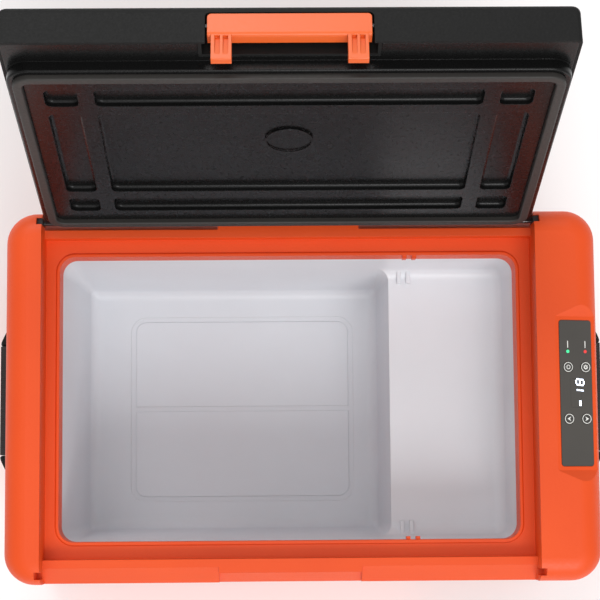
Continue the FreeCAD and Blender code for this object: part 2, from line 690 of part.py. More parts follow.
def pipe(name, radius, points, bend):
    """A round pipe along straight runs joined by tangent arcs."""
    spots = [Vector(*[as_size(value).value for value in point]) for point in points]
    edges = []
    start = spots[0]
    for before, corner, after in zip(spots, spots[1:], spots[2:]):
        back = (before - corner).normalize()
        ahead = (after - corner).normalize()
        half = (math.pi - back.getAngle(ahead)) / 2
        reach = bend * math.tan(half)
        first = corner + back * reach
        last = corner + ahead * reach
        centre = corner + (back + ahead).normalize() * (bend / math.cos(half))
        middle = centre + (corner - centre).normalize() * bend
        edges.append(Part.LineSegment(start, first).toShape())
        edges.append(Part.Arc(first, middle, last).toShape())
        start = last
    edges.append(Part.LineSegment(start, spots[-1]).toShape())
    path = Part.Wire(edges)
    ring = Part.Wire(Part.makeCircle(radius, spots[0], spots[1] - spots[0]))
    thing = DOC.addObject("Part::Feature", name)
    thing.Shape = path.makePipeShell([ring], True, False)
    return thing


def plumbing():
    """Copper suction and discharge pipes between compressor, condenser and tub."""
    seat = S.floor_gap + S.skin + S.foot_plate + S.grommet_height
    top = seat + S.pump_height
    r = 3
    suction = [(S.pump_x - 10, S.pump_y, top + 0.3), (S.pump_x - 10, S.pump_y, top + 22),
               (S.pump_x - 10, S.pump_y - 60, top + 22), (S.bay_wall_x + 14, S.pump_y - 60, top + 22),
               (S.bay_wall_x + 14, S.pump_y - 60, S.bay_top - 6)]
    keep(pipe("SuctionPipe", r, suction, 9), "suction_pipe")
    over = S.condenser_high + 8
    end_y = -S.condenser_half - 4 - 2.5
    discharge = [(S.pump_x + 16, S.pump_y, top + 0.3), (S.pump_x + 16, S.pump_y, over),
                 (S.pump_x + 16, end_y, over), (S.condenser_x, end_y, over),
                 (S.condenser_x, end_y, S.condenser_high - 15)]
    keep(pipe("DischargePipe", 2.4, discharge, 8), "discharge_pipe")


def condenser():
    """Finned heat exchanger with its copper coil in front of the fan."""
    y = (-S.condenser_half, S.condenser_half)
    left = S.condenser_x - S.condenser_thick / 2
    right = S.condenser_x + S.condenser_thick / 2
    count = int((S.condenser_half.value * 2 - 4) // S.fin_pitch.value)
    rows = [S.condenser_low + 12 + i * (S.condenser_high - S.condenser_low - 24) / 4 for i in range(5)]
    fins = [box((left, right), (2 - S.condenser_half + i * S.fin_pitch,
                                2 - S.condenser_half + i * S.fin_pitch
            + S.fin_thick), (S.condenser_low, S.condenser_high), "Fin") for i in range(count)]
    tubes = [rod("y", (S.condenser_x, -S.condenser_half - 4, z), S.coil_tube, S.condenser_half * 2 + 8,
                 "CoilTube")
             for z in rows]
    bends = []
    for i in range(4):
        side = 1 if i % 2 else -1
        y_pair = across(side, S.condenser_half + 1, S.condenser_half + 1 + 2 * S.coil_tube)
        bends.append(box((S.condenser_x - S.coil_tube, S.condenser_x + S.coil_tube), y_pair,
                         (rows[i] - S.coil_tube, rows[i + 1] + S.coil_tube), "CoilBend"))
    rails = [box((left, right), y, (z, z + 1.5),
                 "FinRail") for z in (S.condenser_low, S.condenser_high - 1.5)]
    coil = fuse(*tubes, *bends, name="CoilBlank")
    room = [rod("y", (S.condenser_x, -S.condenser_half - 5, z), S.coil_tube + 0.1,
                S.condenser_half * 2 + 10)
            for z in rows]
    keep(cut(fuse(*fins, *rails, name="FinPack"), *room, name="CondenserFins"), "condenser_fins")
    keep(coil, "condenser_coil")


def fan():
    """Axial fan: square frame, spinning rotor and four screws."""
    half = S.fan_size / 2
    depth = (S.fan_x, S.fan_x + S.fan_depth)
    bore = half - 3
    frame = box(depth, (S.fan_y - half, S.fan_y + half), (S.fan_z - half, S.fan_z + half), "FanBox")
    hole = rod("x", (S.fan_x - 1, S.fan_y, S.fan_z), bore, S.fan_depth + 2, "FanBore")
    post = rod("x", (S.fan_x, S.fan_y, S.fan_z), S.fan_hub - 2, 4, "MotorPlate")
    spokes = [box((S.fan_x, S.fan_x + 3), (S.fan_y - 3, S.fan_y + 3),
                  (S.fan_z - half + 1, S.fan_z + half - 1)),
              box((S.fan_x, S.fan_x + 3), (S.fan_y - half + 1, S.fan_y + half - 1),
                  (S.fan_z - 3, S.fan_z + 3))]
    spindle = rod("x", (S.fan_x, S.fan_y, S.fan_z), 2, S.fan_depth - 4, "Spindle")
    spots = [(a * (half - 5), b * (half - 5)) for a in (-1, 1) for b in (-1, 1)]
    holes = [rod("x", (S.fan_x - 1, S.fan_y + y, S.fan_z + z), 2.3, S.fan_depth + 2) for y, z in spots]
    keep(cut(fuse(cut(frame, hole), post, *spokes, spindle), *holes, name="FanFrame"), "fan_frame")
    front = S.fan_x + 5
    hub = rod("x", (front, S.fan_y, S.fan_z), S.fan_hub, S.fan_depth - 7, "Hub")
    blades = []
    for i in range(int(S.fan_blades.value)):
        blade = DOC.addObject("Part::Box", "Blade")
        bind(blade, "Length", 1.6)
        bind(blade, "Width", 17)
        bind(blade, "Height", bore - S.fan_hub + 1)
        lean = FreeCAD.Rotation(Vector(0, 0, 1), 45)
        spin = FreeCAD.Rotation(Vector(1, 0, 0), i * 360 / S.fan_blades.value)
        local = FreeCAD.Placement(Vector(-5, -6.5, S.fan_hub.value - 2), lean)
        place = Vector((front + 17).value, S.fan_y.value, S.fan_z.value)
        blade.Placement = FreeCAD.Placement(place, spin).multiply(local)
        blades.append(blade)
    shaft = rod("x", (S.fan_x, S.fan_y, S.fan_z), 2 + S.running_gap, S.fan_depth - 4, "ShaftRoom")
    keep(cut(fuse(hub, *blades, name="RotorShape"), shaft, name="FanRotor"), "fan_rotor")
    screws = [rod("x", (S.fan_x - 6, S.fan_y + y, S.fan_z + z), 2, S.fan_depth + 6, "FanScrew") for y,
              z in spots]
    keep(group(screws, "FanScrews"), "fan_screws")
    foot = box((S.fan_x - 4, S.fan_x - 0.2), (S.fan_y - half, S.fan_y + half),
               (S.floor_gap + S.skin, S.fan_z - half + 8), "FanBracket")
    window = box((S.fan_x - 5, S.fan_x + 1), (S.fan_y - half + 8, S.fan_y + half - 8),
                 (S.floor_gap + S.skin + 6, S.fan_z - half + 9), "BracketWindow")
    clear = [rod("x", (S.fan_x - 7, S.fan_y + y, S.fan_z + z), 2.1, 9) for y, z in spots]
    keep(cut(foot, window, *clear, name="FanBracketCut"), "fan_bracket")


def electronics():
    """Control module, its parts, the power socket and the loom to the panel."""
    wall = S.bay_wall_x + S.sheet_thick
    face = wall + S.standoff
    back = face + 1.6
    y = S.module_y
    z = S.module_z
    board = box((face, back), (y, y + S.module_long), (z, z + S.module_tall), "Board")
    keep(board, "control_board")
    sink = box((back, back + 4.5), (y + 8, y + 50), (z + 6, z + S.module_tall - 6), "SinkBase")
    fins = [box((back + 4, back + 18), (y + 8 + i * 5, y + 10 + i * 5), (z + 6, z + S.module_tall - 6),
                "SinkFin")
            for i in range(9)]
    keep(fuse(sink, *fins, name="HeatSink"), "module_heat_sink")
    cans = [rod("x", (back, y + 62 + i * 13, z + 44), 5.5, 18, "Can") for i in range(2)]
    cans.append(rod("x", (back, y + 68, z + 18), 9, 12, "Choke"))
    keep(group(cans, "ModuleParts"), "module_capacitors")
    posts = [rod("x", (wall, y + along, z + up), 3.5, S.standoff, "Post")
             for along in (5, S.module_long - 5) for up in (5, S.module_tall - 5)]
    keep(group(posts, "Standoffs"), "module_standoffs")
    socket_y, socket_z = S.socket_y, S.socket_z
    gap = S.fit_gap
    flange = box((HALF_X, HALF_X + 2), (socket_y - S.socket_half - 4, socket_y + S.socket_half + 4),
                 (socket_z - S.socket_tall - 4, socket_z + S.socket_tall + 4), "SocketFlange")
    shell = box((HALF_X - 30, HALF_X + 1), (socket_y - S.socket_half + gap,
                                            socket_y + S.socket_half - gap),
                (socket_z - S.socket_tall + gap, socket_z + S.socket_tall - gap), "SocketBody")
    wells = [box((HALF_X - 20, HALF_X + 3), (socket_y - 23, socket_y - 3), (socket_z - 8, socket_z + 8),
                 "DcWell"),
             box((HALF_X - 20, HALF_X + 3), (socket_y + 3, socket_y + 23), (socket_z - 8, socket_z + 8),
                 "AcWell")]
    keep(cut(fuse(flange, shell, name="SocketShape"), *wells, name="PowerSocket"), "power_socket")
    prongs = [rod("x", (HALF_X - 20, socket_y + y, socket_z + z), 1.6, 14, "Prong")
              for y, z in ((-16, 0), (-9, 0), (8.5, 3), (17.5, 3))]
    keep(group(prongs, "SocketPins"), "socket_pins")


def grille(name, label, place, half, turn):
    """A louvred vent insert with a flange outside the casing; turn faces it outward."""
    gap = S.fit_gap
    low = S.vent_low
    high = S.vent_high
    flange = box((-half - 4, half + 4), (0, 1.8), (low - 4, high + 4), name + "Flange")
    ring = box((gap - half, half - gap), (-S.skin - 2, 0.5), (low + gap, high - gap), name + "Ring")
    hole = box((3 - half, half - 3), (-10, 5), (low + 3, high - 3), name + "Hole")
    frame = cut(fuse(flange, ring), hole, name=name + "Frame")
    count = int((high.value - low.value - 8) // S.louvre_pitch.value)
    slats = [box((2 - half, half - 2), (-S.skin - 2, 1.2), (low + 7 + i * S.louvre_pitch,
             low + 7 + i * S.louvre_pitch + S.louvre_thick), name + "Slat") for i in range(count)]
    mullions = [box((x - 1.5, x + 1.5), (-S.skin - 2, 0.8), (low + 1, high - 1), name + "Mullion")
                for x in (-half / 3, half / 3)]
    whole = fuse(frame, *slats, *mullions, name=name)
    x, y = (as_size(value).value for value in place)
    whole.Placement = FreeCAD.Placement(Vector(x, y, 0), FreeCAD.Rotation(Vector(0, 0, 1), turn))
    keep(whole, label)


def grilles():
    """Vent inserts on the fan's end and on both long sides of the bay."""
    middle = (S.side_vent_from + S.side_vent_to) / 2
    half = (S.side_vent_to - S.side_vent_from) / 2
    grille("EndGrille", "vent_grille_end", (HALF_X, 0), S.vent_half_y, -90)
    grille("FrontGrille", "vent_grille_front", (middle, -HALF_Y), half, 180)
    grille("BackGrille", "vent_grille_back", (middle, HALF_Y), half, 0)


# ---------------------------------------------------------------- control panel

KEYS = {"key_power": ("key_near", 1), "key_mode": ("key_far", 1), "key_up": ("key_near", -1),
        "key_down": ("key_far", -1)}
LAMPS = {"led_green": "key_near", "led_red": "key_far"}


def control_panel():
    """Panel plate, keys, window, lamps and the board below them."""
    near = S.panel_near
    plate = facet_slab("PanelPlate", (near, near + S.panel_across), S.panel_half,
                       (0.6 - S.panel_thick, 0.4), 2.6)
    tools = []
    for place, side in KEYS.values():
        tools.append(tilted_studs(getattr(S, place), side * S.key_y, -6, S.key_radius + S.key_gap, 12))
    for place in LAMPS.values():
        tools.append(tilted_studs(getattr(S, place), S.led_y, -6, S.led_radius + 0.05, 12))
    window = (S.window_near, S.window_near + S.window_across)
    tools.append(facet_slab("WindowHole", (window[0] - 0.1, window[1] + 0.1), S.window_half + 0.1,
                            (-5, 5), 1.5))
    keep(cut(plate, *tools, name="PanelPlateCut"), "panel_plate")
    keep(facet_slab("Window", window, S.window_half, (0.6 - S.panel_thick, 0.4), 1.4), "display_window")
    under = S.panel_thick + S.skin
    keep(facet_slab("PanelBoard", (near + 2, near + 31), S.panel_half - 8, (-under - 3.4, -under - 1.8),
                    2),
         "panel_board")
    for label, place in LAMPS.items():
        lamp = tilted_studs(getattr(S, place), S.led_y, 0.6 - S.panel_thick, S.led_radius, S.panel_thick)
        keep(lamp, label)
    for label, (place, side) in KEYS.items():
        cap = tilted_studs(getattr(S, place), side * S.key_y, 0.5 - S.key_thick + 1.6, S.key_radius,
                           S.key_thick - 1.2)
        keep(rounded(cap, 0.5, lambda edge: True), label)


def tilted_studs(near, y, lift, radius, length):
    """A cylinder standing on the facet."""
    cylinder = DOC.addObject("Part::Cylinder", "Stud")
    bind(cylinder, "Radius", radius)
    bind(cylinder, "Height", length)
    return tilted(cylinder, near, y, as_size(lift))


# ---------------------------------------------------------------- handles

def handles():
    """A swinging bail, its bracket and two pins on each end of the cabinet."""
    for side, label in ((-1, "left"), (1, "right")):
        def x_pair(near, far, side=side):
            return across(side, HALF_X + near, HALF_X + far)
        centre = side * (HALF_X + S.handle_reach / 2 + S.handle_gap)
        pivot = S.handle_pivot_z
        bar_low = pivot - S.handle_drop
        outer = S.handle_gap + S.handle_reach
        arms = []
        for end in (-1, 1):
            y_pair = across(end, S.handle_half - S.handle_arm, S.handle_half)
            arm = box(x_pair(S.handle_gap, outer), y_pair, (bar_low + 3, pivot), "Arm")
            eye = rod("y", (centre, y_pair[0], pivot), S.handle_reach / 2, S.handle_arm, "Eye")
            arms += [arm, eye]
        bar = box(x_pair(S.handle_gap, outer),
                  (-S.handle_half, S.handle_half), (bar_low, bar_low + S.handle_bar), "Bar")
        bail = cut(fuse(*arms, bar, name="BailBlank"), *bail_slants(side), name="BailSlanted")
        soft = rounded(bail, 2.2, bail_edge)
        holes = pin_rooms(centre, pivot, S.handle_pin_radius + S.running_gap, S.bracket_half - 1,
                          S.pin_end + 0.3)
        keep(cut(soft, *holes, name="Handle"), f"handle_{label}")
        block = box(x_pair(0, outer - 1), (-S.bracket_half, S.bracket_half),
                    (pivot - 9, pivot + 9), "Bracket")
        seats = pin_rooms(centre, pivot, S.handle_pin_radius, S.bracket_half - 12, S.bracket_half + 1)
        keep(cut(block, *seats, name="BracketCut"), f"handle_bracket_{label}")
        pins = pin_rooms(centre, pivot, S.handle_pin_radius, S.bracket_half - 12, S.pin_end)
        keep(group(pins, "HandlePins"), f"handle_pins_{label}")


def pin_rooms(centre, pivot, radius, near, far):
    """Two rods along a handle's swing line, from near to far on each side of Y = 0."""
    return [rod("y", (centre, across(end, near, far)[0], pivot), radius, far - near,
                "PinRod") for end in (-1, 1)]


def bail_slants(side):
    """Wedges that slope the outer corners of a handle's ends toward the wall."""
    outer = HALF_X + S.handle_gap + S.handle_reach
    high = S.handle_pivot_z + 20
    wedges = []
    for end in (-1, 1):
        owner = body("BailSlant")
        drawing = sketch(owner, "XY_Plane", S.handle_pivot_z - S.handle_drop - 5)
        corners = [(outer, S.handle_half - S.slant_long), (outer + 4, S.handle_half - S.slant_long),
                   (outer + 4, S.handle_half + 4), (outer - S.slant_deep, S.handle_half + 4),
                   (outer - S.slant_deep, S.handle_half)]
        turned = [(x * side, y * end) for x, y in corners]
        outline(drawing, turned if side == end else list(reversed(turned)))
        pad(owner, drawing, high - (S.handle_pivot_z - S.handle_drop - 5))
        wedges.append(owner)
    return wedges


def bail_edge(edge):
    """Long straight edges of a handle, away from its wall side."""
    return edge.Length > 40 and edge.Curve.TypeId == "Part::GeomLine"


# ---------------------------------------------------------------- lid, drawn shut

LID_LEFT = BAY_LEFT + S.lid_gap
LID_RIGHT = BAY_RIGHT - S.lid_gap
LID_BACK = S.hinge_y + S.lid_rear
LID_LOW = S.hinge_z - S.lid_seam
LID_TOP = S.hinge_z + S.lid_rise
LID_MIDDLE = (BAY_LEFT + BAY_RIGHT) / 2


def opened(thing):
    """Turn a lid piece open about the hinge line."""
    centre = Vector(0, S.hinge_y.value, S.hinge_z.value)
    turn = FreeCAD.Rotation(Vector(1, 0, 0), -S.lid_open.value)
    thing.Placement = FreeCAD.Placement(Vector(), turn, centre)
    return thing


def keep_lid(thing, label):
    """Turn a lid piece open and keep it as a sub-part."""
    return keep(opened(thing), label)


def lid_block(name, inset):
    """The lid's outer block, shrunk by inset on its sides and top, with rounded top edges."""
    top = LID_TOP - inset
    owner = slab(name, (LID_LEFT + inset, LID_RIGHT - inset), (inset - HALF_Y, LID_BACK - inset),
                 (LID_LOW, top), S.corner_lid - inset, soft=S.lid_round - inset)
    return owner


def latch_recess():
    """Front recess of the lid: a pocket for the bar and wider finger room under the rim."""
    left = S.notch_from + S.latch_gap / 2
    right = S.notch_to - S.latch_gap / 2
    low = S.hinge_z - 20
    bar = box((left, right), (-HALF_Y - 5, S.latch_recess - HALF_Y), (low, S.hinge_z + S.latch_roof),
              "LatchPocket")
    finger = box((left - S.finger_side, right + S.finger_side),
                 (S.lid_skin - HALF_Y, S.latch_recess - HALF_Y),
                 (low, S.hinge_z + S.finger_height), "FingerPocket")
    return fuse(rounded(bar, 4, upright_corner(S.hinge_z + S.latch_roof)), finger, name="LatchRecess")


def upright_corner(z):
    """Test for edges that run front to back at one height."""
    level = z.value
    return lambda edge: edge.BoundBox.YLength > 5 and abs(edge.BoundBox.ZMin - level) < 0.01 and (
        abs(edge.BoundBox.ZMax - level) < 0.01)


def rear_relief():
    """Space cut from the lid's rear edge so that it clears the body as it swings."""
    edge = S.rear_clear
    strike = box((S.notch_from - 2, S.notch_to + 2), (S.strike_reach - S.lid_strike_gap, LID_BACK + 5),
                 (S.hinge_z - 20, S.hinge_z + S.relief_height), "StrikeRelief")
    low = LID_LOW - 1
    points = [(LID_BACK - edge, low), (LID_BACK + 5, low), (LID_BACK + 5, low + edge + 6)]
    bevel = run_x("RearBevel", LID_LEFT - 1, LID_RIGHT + 1, points)
    return fuse(strike, bevel, name="RearRelief")


def lid_cover():
    """Black grained outer shell of the lid with the latch recess and pin holes."""
    outer = lid_block("LidOuter", as_size(0))
    hollow = slab("LidHollow", (LID_LEFT + S.lid_skin, LID_RIGHT - S.lid_skin),
                  (S.lid_skin - HALF_Y, LID_BACK - S.lid_skin - 4), (LID_LOW - 1, LID_TOP - S.lid_skin),
                  S.corner_lid, soft=S.lid_round - S.lid_skin)
    wall = S.lid_skin
    left = S.notch_from - wall
    right = S.notch_to + wall
    front = box((left, right), (1 - HALF_Y, S.latch_recess + wall - HALF_Y),
                (LID_LOW, S.hinge_z + S.latch_roof + wall - 1), "RecessWall")
    low = box((left - S.finger_side, right + S.finger_side), (1 - HALF_Y, S.latch_recess + wall - HALF_Y),
              (LID_LOW, S.hinge_z + S.finger_height + wall), "FingerWall")
    ears = [box((x, x + S.hinge_pin_root + 2), (S.hinge_y - 6, LID_BACK - 1),
                (LID_LOW, S.hinge_z + 7), "HingeBoss") for x in (LID_LEFT,
                                                                 LID_RIGHT - S.hinge_pin_root - 2)]
    shell = fuse(cut(outer, hollow, name="LidShell"), common(fuse(front, low, *ears), outer),
                 name="LidBlank")
    tools = [latch_recess(), rear_relief(), pin_rods(S.hinge_pin_radius, "PinHole"),
             latch_axle(as_size(0.02))]
    keep_lid(cut(shell, *tools, name="LidCover"), "lid_cover")


def pin_rods(radius, name):
    """The two hinge pins, from inside the lid's ends out into the shoulder slots."""
    length = S.hinge_pin_root + S.lid_gap + S.pocket_depth - 0.5
    starts = (LID_LEFT - S.lid_gap - S.pocket_depth + 0.5, LID_RIGHT - S.hinge_pin_root)
    return group([rod("x", (x, S.hinge_y, S.hinge_z), radius, length, name) for x in starts],
                 name + "Pair")


def latch_axle(extra):
    """The latch's pivot pin, held at both ends in the lid's recess walls."""
    start = S.notch_from - S.lid_skin + 0.4
    length = S.notch_to - S.notch_from + 2 * S.lid_skin - 0.8
    y = S.latch_pivot_in - HALF_Y
    return rod("x", (start, y, S.hinge_z + S.latch_pivot_n), S.latch_pin_radius + extra, length,
               "LatchAxle")


def lid_inner_panel():
    """Smooth liner of the lid: flat rim, plug and dished grid, open above for foam."""
    rim_gap = S.lid_skin + 0.15
    rim = box((LID_LEFT + rim_gap, LID_RIGHT - rim_gap), (rim_gap - HALF_Y, LID_BACK - rim_gap - 4),
              (LID_LOW, LID_LOW + S.lid_skin), "Rim")
    half = (LID_RIGHT - LID_LEFT) / 2 - (S.plug_gap - S.lid_gap)
    face = S.hinge_z - S.plug_drop
    plug = slab("Plug", (LID_MIDDLE - half, LID_MIDDLE + half), (-S.plug_half, S.plug_half),
                (face, LID_LOW + S.lid_skin), S.plug_round)
    soften(plug, plug.Tip, 1.6, at_height(face))
    room = slab("PlugRoom", (LID_MIDDLE - half + 3, LID_MIDDLE + half - 3),
                (3 - S.plug_half, S.plug_half - 3),
                (face + S.dish_depth + S.lid_skin, LID_TOP), S.plug_round - 3)
    xs = dish_spans(S.dish_x_half, LID_MIDDLE)
    ys = dish_spans(S.dish_y_half, 0)
    dishes = []
    for x in xs:
        for y in ys:
            dish = slab("Dish", x, y, (face - 1, face + S.dish_depth), S.dish_round, soft=S.dish_soft)
            dishes.append(dish)
    walls = common(fuse(recess_walls(), name="RecessRoom"), rim, name="RimTrim")
    groove = gasket_ring("GasketGroove", face - 1, face + S.gasket_bite, S.gasket_width + 0.2)
    hinge_room = [box((x, x + S.hinge_pin_root + 2.4), (S.hinge_y - 6.2, LID_BACK),
                      (LID_LOW - 1, LID_TOP)) for x in (LID_LEFT - 0.2,
                                                        LID_RIGHT - S.hinge_pin_root - 2.2)]
    solid = cut(fuse(rim, plug, name="PanelBlank"), room, *dishes, groove, walls, *hinge_room,
                latch_recess(),
                rear_relief(), name="LidInnerPanel")
    keep_lid(solid, "lid_inner_panel")


def recess_walls():
    """Room that the cover's recess walls take from the inner panel's rim."""
    wall = S.lid_skin + 0.15
    wide = wall + S.finger_side
    return box((S.notch_from - wide, S.notch_to + wide), (-HALF_Y, S.latch_recess + wall - HALF_Y),
               (LID_LOW - 1, LID_TOP), "RecessRoomBox")


def dish_spans(half, middle):
    """Low and high limits of the side, middle and side dishes of a row."""
    inner = half - S.dish_side
    return [(middle - half, middle - inner), (middle - inner + S.dish_gap, middle + inner - S.dish_gap),
            (middle + inner, middle + half)]


def gasket_ring(name, low, high, width):
    """A rounded rectangular ring that follows the gasket's line."""
    half = (LID_RIGHT - LID_LEFT) / 2 - (S.plug_gap - S.lid_gap) - S.gasket_inset
    spare = (width - S.gasket_width) / 2
    outer_x = half + spare
    outer_y = S.gasket_half + spare
    radius = S.plug_round - 4
    owner = body(name)
    drawing = sketch(owner, "XY_Plane", low)
    rounded_outline(drawing, (LID_MIDDLE - outer_x, LID_MIDDLE + outer_x), (-outer_y, outer_y), radius)
    rounded_outline(drawing, (LID_MIDDLE - outer_x + width, LID_MIDDLE + outer_x - width),
                    (width - outer_y, outer_y - width), radius - S.gasket_width)
    pad(owner, drawing, as_size(high) - low)
    return owner


def lid_soft_parts():
    """Gasket, foam filling and the cap over the foaming port."""
    face = S.hinge_z - S.plug_drop
    low = S.ledge_height + S.bead_height + S.gasket_lift
    ring = gasket_ring("LidGasket", low, face + S.gasket_bite, S.gasket_width)
    soften(ring, ring.Tip, 1.5, at_height(low))
    keep_lid(ring, "lid_gasket")
    wall = S.lid_skin + 0.4
    foam = slab("LidFoam", (LID_LEFT + wall, LID_RIGHT - wall), (wall - HALF_Y, LID_BACK - wall - 4),
                (LID_LOW + wall, LID_TOP - wall), S.corner_lid, soft=S.lid_round - wall)
    ears = [box((x, x + S.hinge_pin_root + 3), (S.hinge_y - 7, LID_BACK), (LID_LOW - 1, S.hinge_z + 8))
            for x in (LID_LEFT, LID_RIGHT - S.hinge_pin_root - 3)]
    left = S.notch_from - wall - S.finger_side
    right = S.notch_to + wall + S.finger_side
    keep_off = [box((left, right), (-HALF_Y - 5, S.latch_recess + wall - HALF_Y),
                    (S.hinge_z - 20, S.hinge_z + S.latch_roof + wall)),
                box((left, right), (S.strike_reach - 5, LID_BACK + 5), (LID_LOW - 1, S.hinge_z + 8))]
    keep_lid(cut(foam, *ears, *keep_off, name="LidFoamCut"), "lid_foam")
    cap_top = face + S.dish_depth
    cap = rod("z", (LID_MIDDLE, -S.port_offset, cap_top - S.port_thick), S.port_radius, S.port_thick,
              "PortCap")
    keep_lid(rounded(cap, 0.5, at_height(cap_top - S.port_thick)), "foam_port_cap")
    keep_lid(pin_rods(S.hinge_pin_radius, "LidHingePin"), "lid_hinge_pins")


def hinge_bushes():
    """Dark plugs in the rear slots that carry the lid's pins."""
    bushes = []
    for start in (BAY_LEFT - S.pocket_depth, BAY_RIGHT):
        half = S.pocket_width / 2 - 0.05
        block = box((start, start + S.pocket_depth), (S.hinge_y - half, S.hinge_y + half),
                    (S.shoulder_top - S.pocket_drop, S.hinge_z + S.bush_rise), "BushBlock")
        bore = rod("x", (start - 1, S.hinge_y, S.hinge_z), S.hinge_pin_radius + S.running_gap,
                   S.pocket_depth + 2, "BushBore")
        bushes.append(cut(block, bore, name="Bush"))
    keep(group(bushes, "HingeBushes"), "hinge_bushes")


# ---------------------------------------------------------------- latch, drawn shut

def notch_face(z):
    """How far out the latch keeps at a height, clear of the notch's sloping face."""
    return S.notch_start + (S.rail_height - z) / trig("tan", S.notch_slope) + 2 * S.hook_gap


def latch_blank(left, right):
    """The bar: a flat face with rounded upper corners and a soft lower edge."""
    front = -HALF_Y
    back = S.latch_thick - HALF_Y
    low = S.hinge_z + S.latch_low
    top = S.hinge_z + S.latch_top
    bar = run_x("LatchBar", left, right, [(front, top), (front, low), (back, low), (back, top)])
    corners = soften(bar, bar.Tip, 3.5, upright_corner(top))
    soften(bar, corners, 3, lambda edge: (edge.BoundBox.XLength > 50 and at_height(low)(edge)
                                          and abs(edge.BoundBox.YMin - front.value) < 0.01))
    return bar


def latch_leg(start):
    """One leg: hooked at its foot, with two tapering channels down its face."""
    face = 0.5 - HALF_Y
    low = S.hinge_z - S.leg_drop
    root = S.hinge_z + S.latch_low + 6
    catch = S.rail_height - S.strike_thick - S.hook_gap
    tip = catch - 1.5
    inner = -S.strike_reach - S.hook_gap
    points = [(face + 0.5, root), (face, S.hinge_z + S.latch_low), (face, low + 0.8), (face + 0.8, low),
              (-notch_face(low), low), (-notch_face(tip), tip), (-notch_face(tip), catch), (inner, catch),
              (inner, root)]
    leg = run_x("Leg", start, start + S.leg_width, points)
    high = S.hinge_z + S.latch_low
    foot = low + 4.5
    wedge = [(face - 1, high), (face + S.leg_channel_deep, high), (face, foot), (face - 1, foot)]
    channels = []
    for i in range(2):
        left = start + S.leg_rib + i * (S.leg_channel + S.leg_rib - 0.6)
        channels.append(run_x("LegChannel", left, left + S.leg_channel, wedge))
    return cut(leg, *channels, name="LegChannelled")


def latch():
    """Orange latch: a bar with two ribbed legs whose hooks catch the strike."""
    gap = S.latch_gap * 2
    left = S.notch_from + gap
    right = S.notch_to - gap
    front = -HALF_Y
    back = S.latch_thick - HALF_Y
    bar = latch_blank(left, right)
    legs = [latch_leg(start) for start in (left + S.leg_in, right - S.leg_in - S.leg_width)]
    hole = latch_axle(S.running_gap)
    middle = (S.notch_from + S.notch_to) / 2
    spring_room = box((middle - 9, middle + 9), (front + 0.8, back + 1),
                      (S.hinge_z + S.latch_pivot_n - 6, S.hinge_z + S.latch_top + 1), "SpringRoom")
    keep_lid(cut(fuse(bar, *legs, name="LatchShape"), hole, spring_room, name="Latch"), "latch_bar")
    keep_lid(group([latch_axle(as_size(0))], "LatchPin"), "latch_pin")
    coils = []
    for i in range(5):
        ring = DOC.addObject("Part::Torus", "Coil")
        bind(ring, "Radius1", S.latch_pin_radius + 1.1)
        bind(ring, "Radius2", 0.6)
        ring.Placement = FreeCAD.Placement(Vector(), FreeCAD.Rotation(Vector(0, 1, 0), 90))
        for letter, place in zip("xyz", (middle - 2.2 + i * 1.1, S.latch_pivot_in - HALF_Y,
                                         S.hinge_z + S.latch_pivot_n)):
            bind(ring, f"Placement.Base.{letter}", place)
        coils.append(ring)
    tail = box((middle + 1.6, middle + 2.8), (S.latch_pivot_in - HALF_Y, S.latch_recess - HALF_Y - 0.2),
               (S.hinge_z + S.latch_pivot_n + 2.2, S.hinge_z + S.latch_pivot_n + 3.3), "SpringTail")
    keep_lid(fuse(*coils, tail, name="LatchSpring"), "latch_spring")


# ---------------------------------------------------------------- export

def finish():
    """Check every object and write each sub-part's solid."""
    DOC.recompute()
    bad = [item.Name for item in DOC.Objects if "Invalid" in item.State or "Error" in item.State]
    if bad:
        raise ValueError(f"objects that failed: {bad}")
    for thing in NODES:
        if thing.Shape.isNull() or not thing.Shape.isValid() or not thing.Shape.Solids:
            raise ValueError(f"{thing.Label} is empty or not valid")
    os.makedirs("parts", exist_ok=True)
    for thing in NODES:
        thing.Shape.exportStep(f"parts/{thing.Label}.step")
        limits = thing.Shape.BoundBox
        print(f"{thing.Label:22s} solids {len(thing.Shape.Solids)}  x {limits.XMin:.1f} {limits.XMax:.1f}"
              f"  y {limits.YMin:.1f} {limits.YMax:.1f}  z {limits.ZMin:.1f} {limits.ZMax:.1f}")


PARTS = (top_frame, outer_casing, base_tray, feet, liner_tub, evaporator, sensor_and_loom, foam_jacket,
         bay_bulkhead,
         compressor, plumbing, condenser, fan, electronics, grilles, control_panel, handles,
         lid_cover, lid_inner_panel, lid_soft_parts, hinge_bushes, latch)

for build in PARTS:
    build()
finish()
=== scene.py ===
"""Visual model of a portable compressor cooler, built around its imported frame."""
import json
import logging
import math
from dataclasses import dataclass, field
from enum import Enum

import bmesh
import bpy
from mathutils import Matrix, Vector

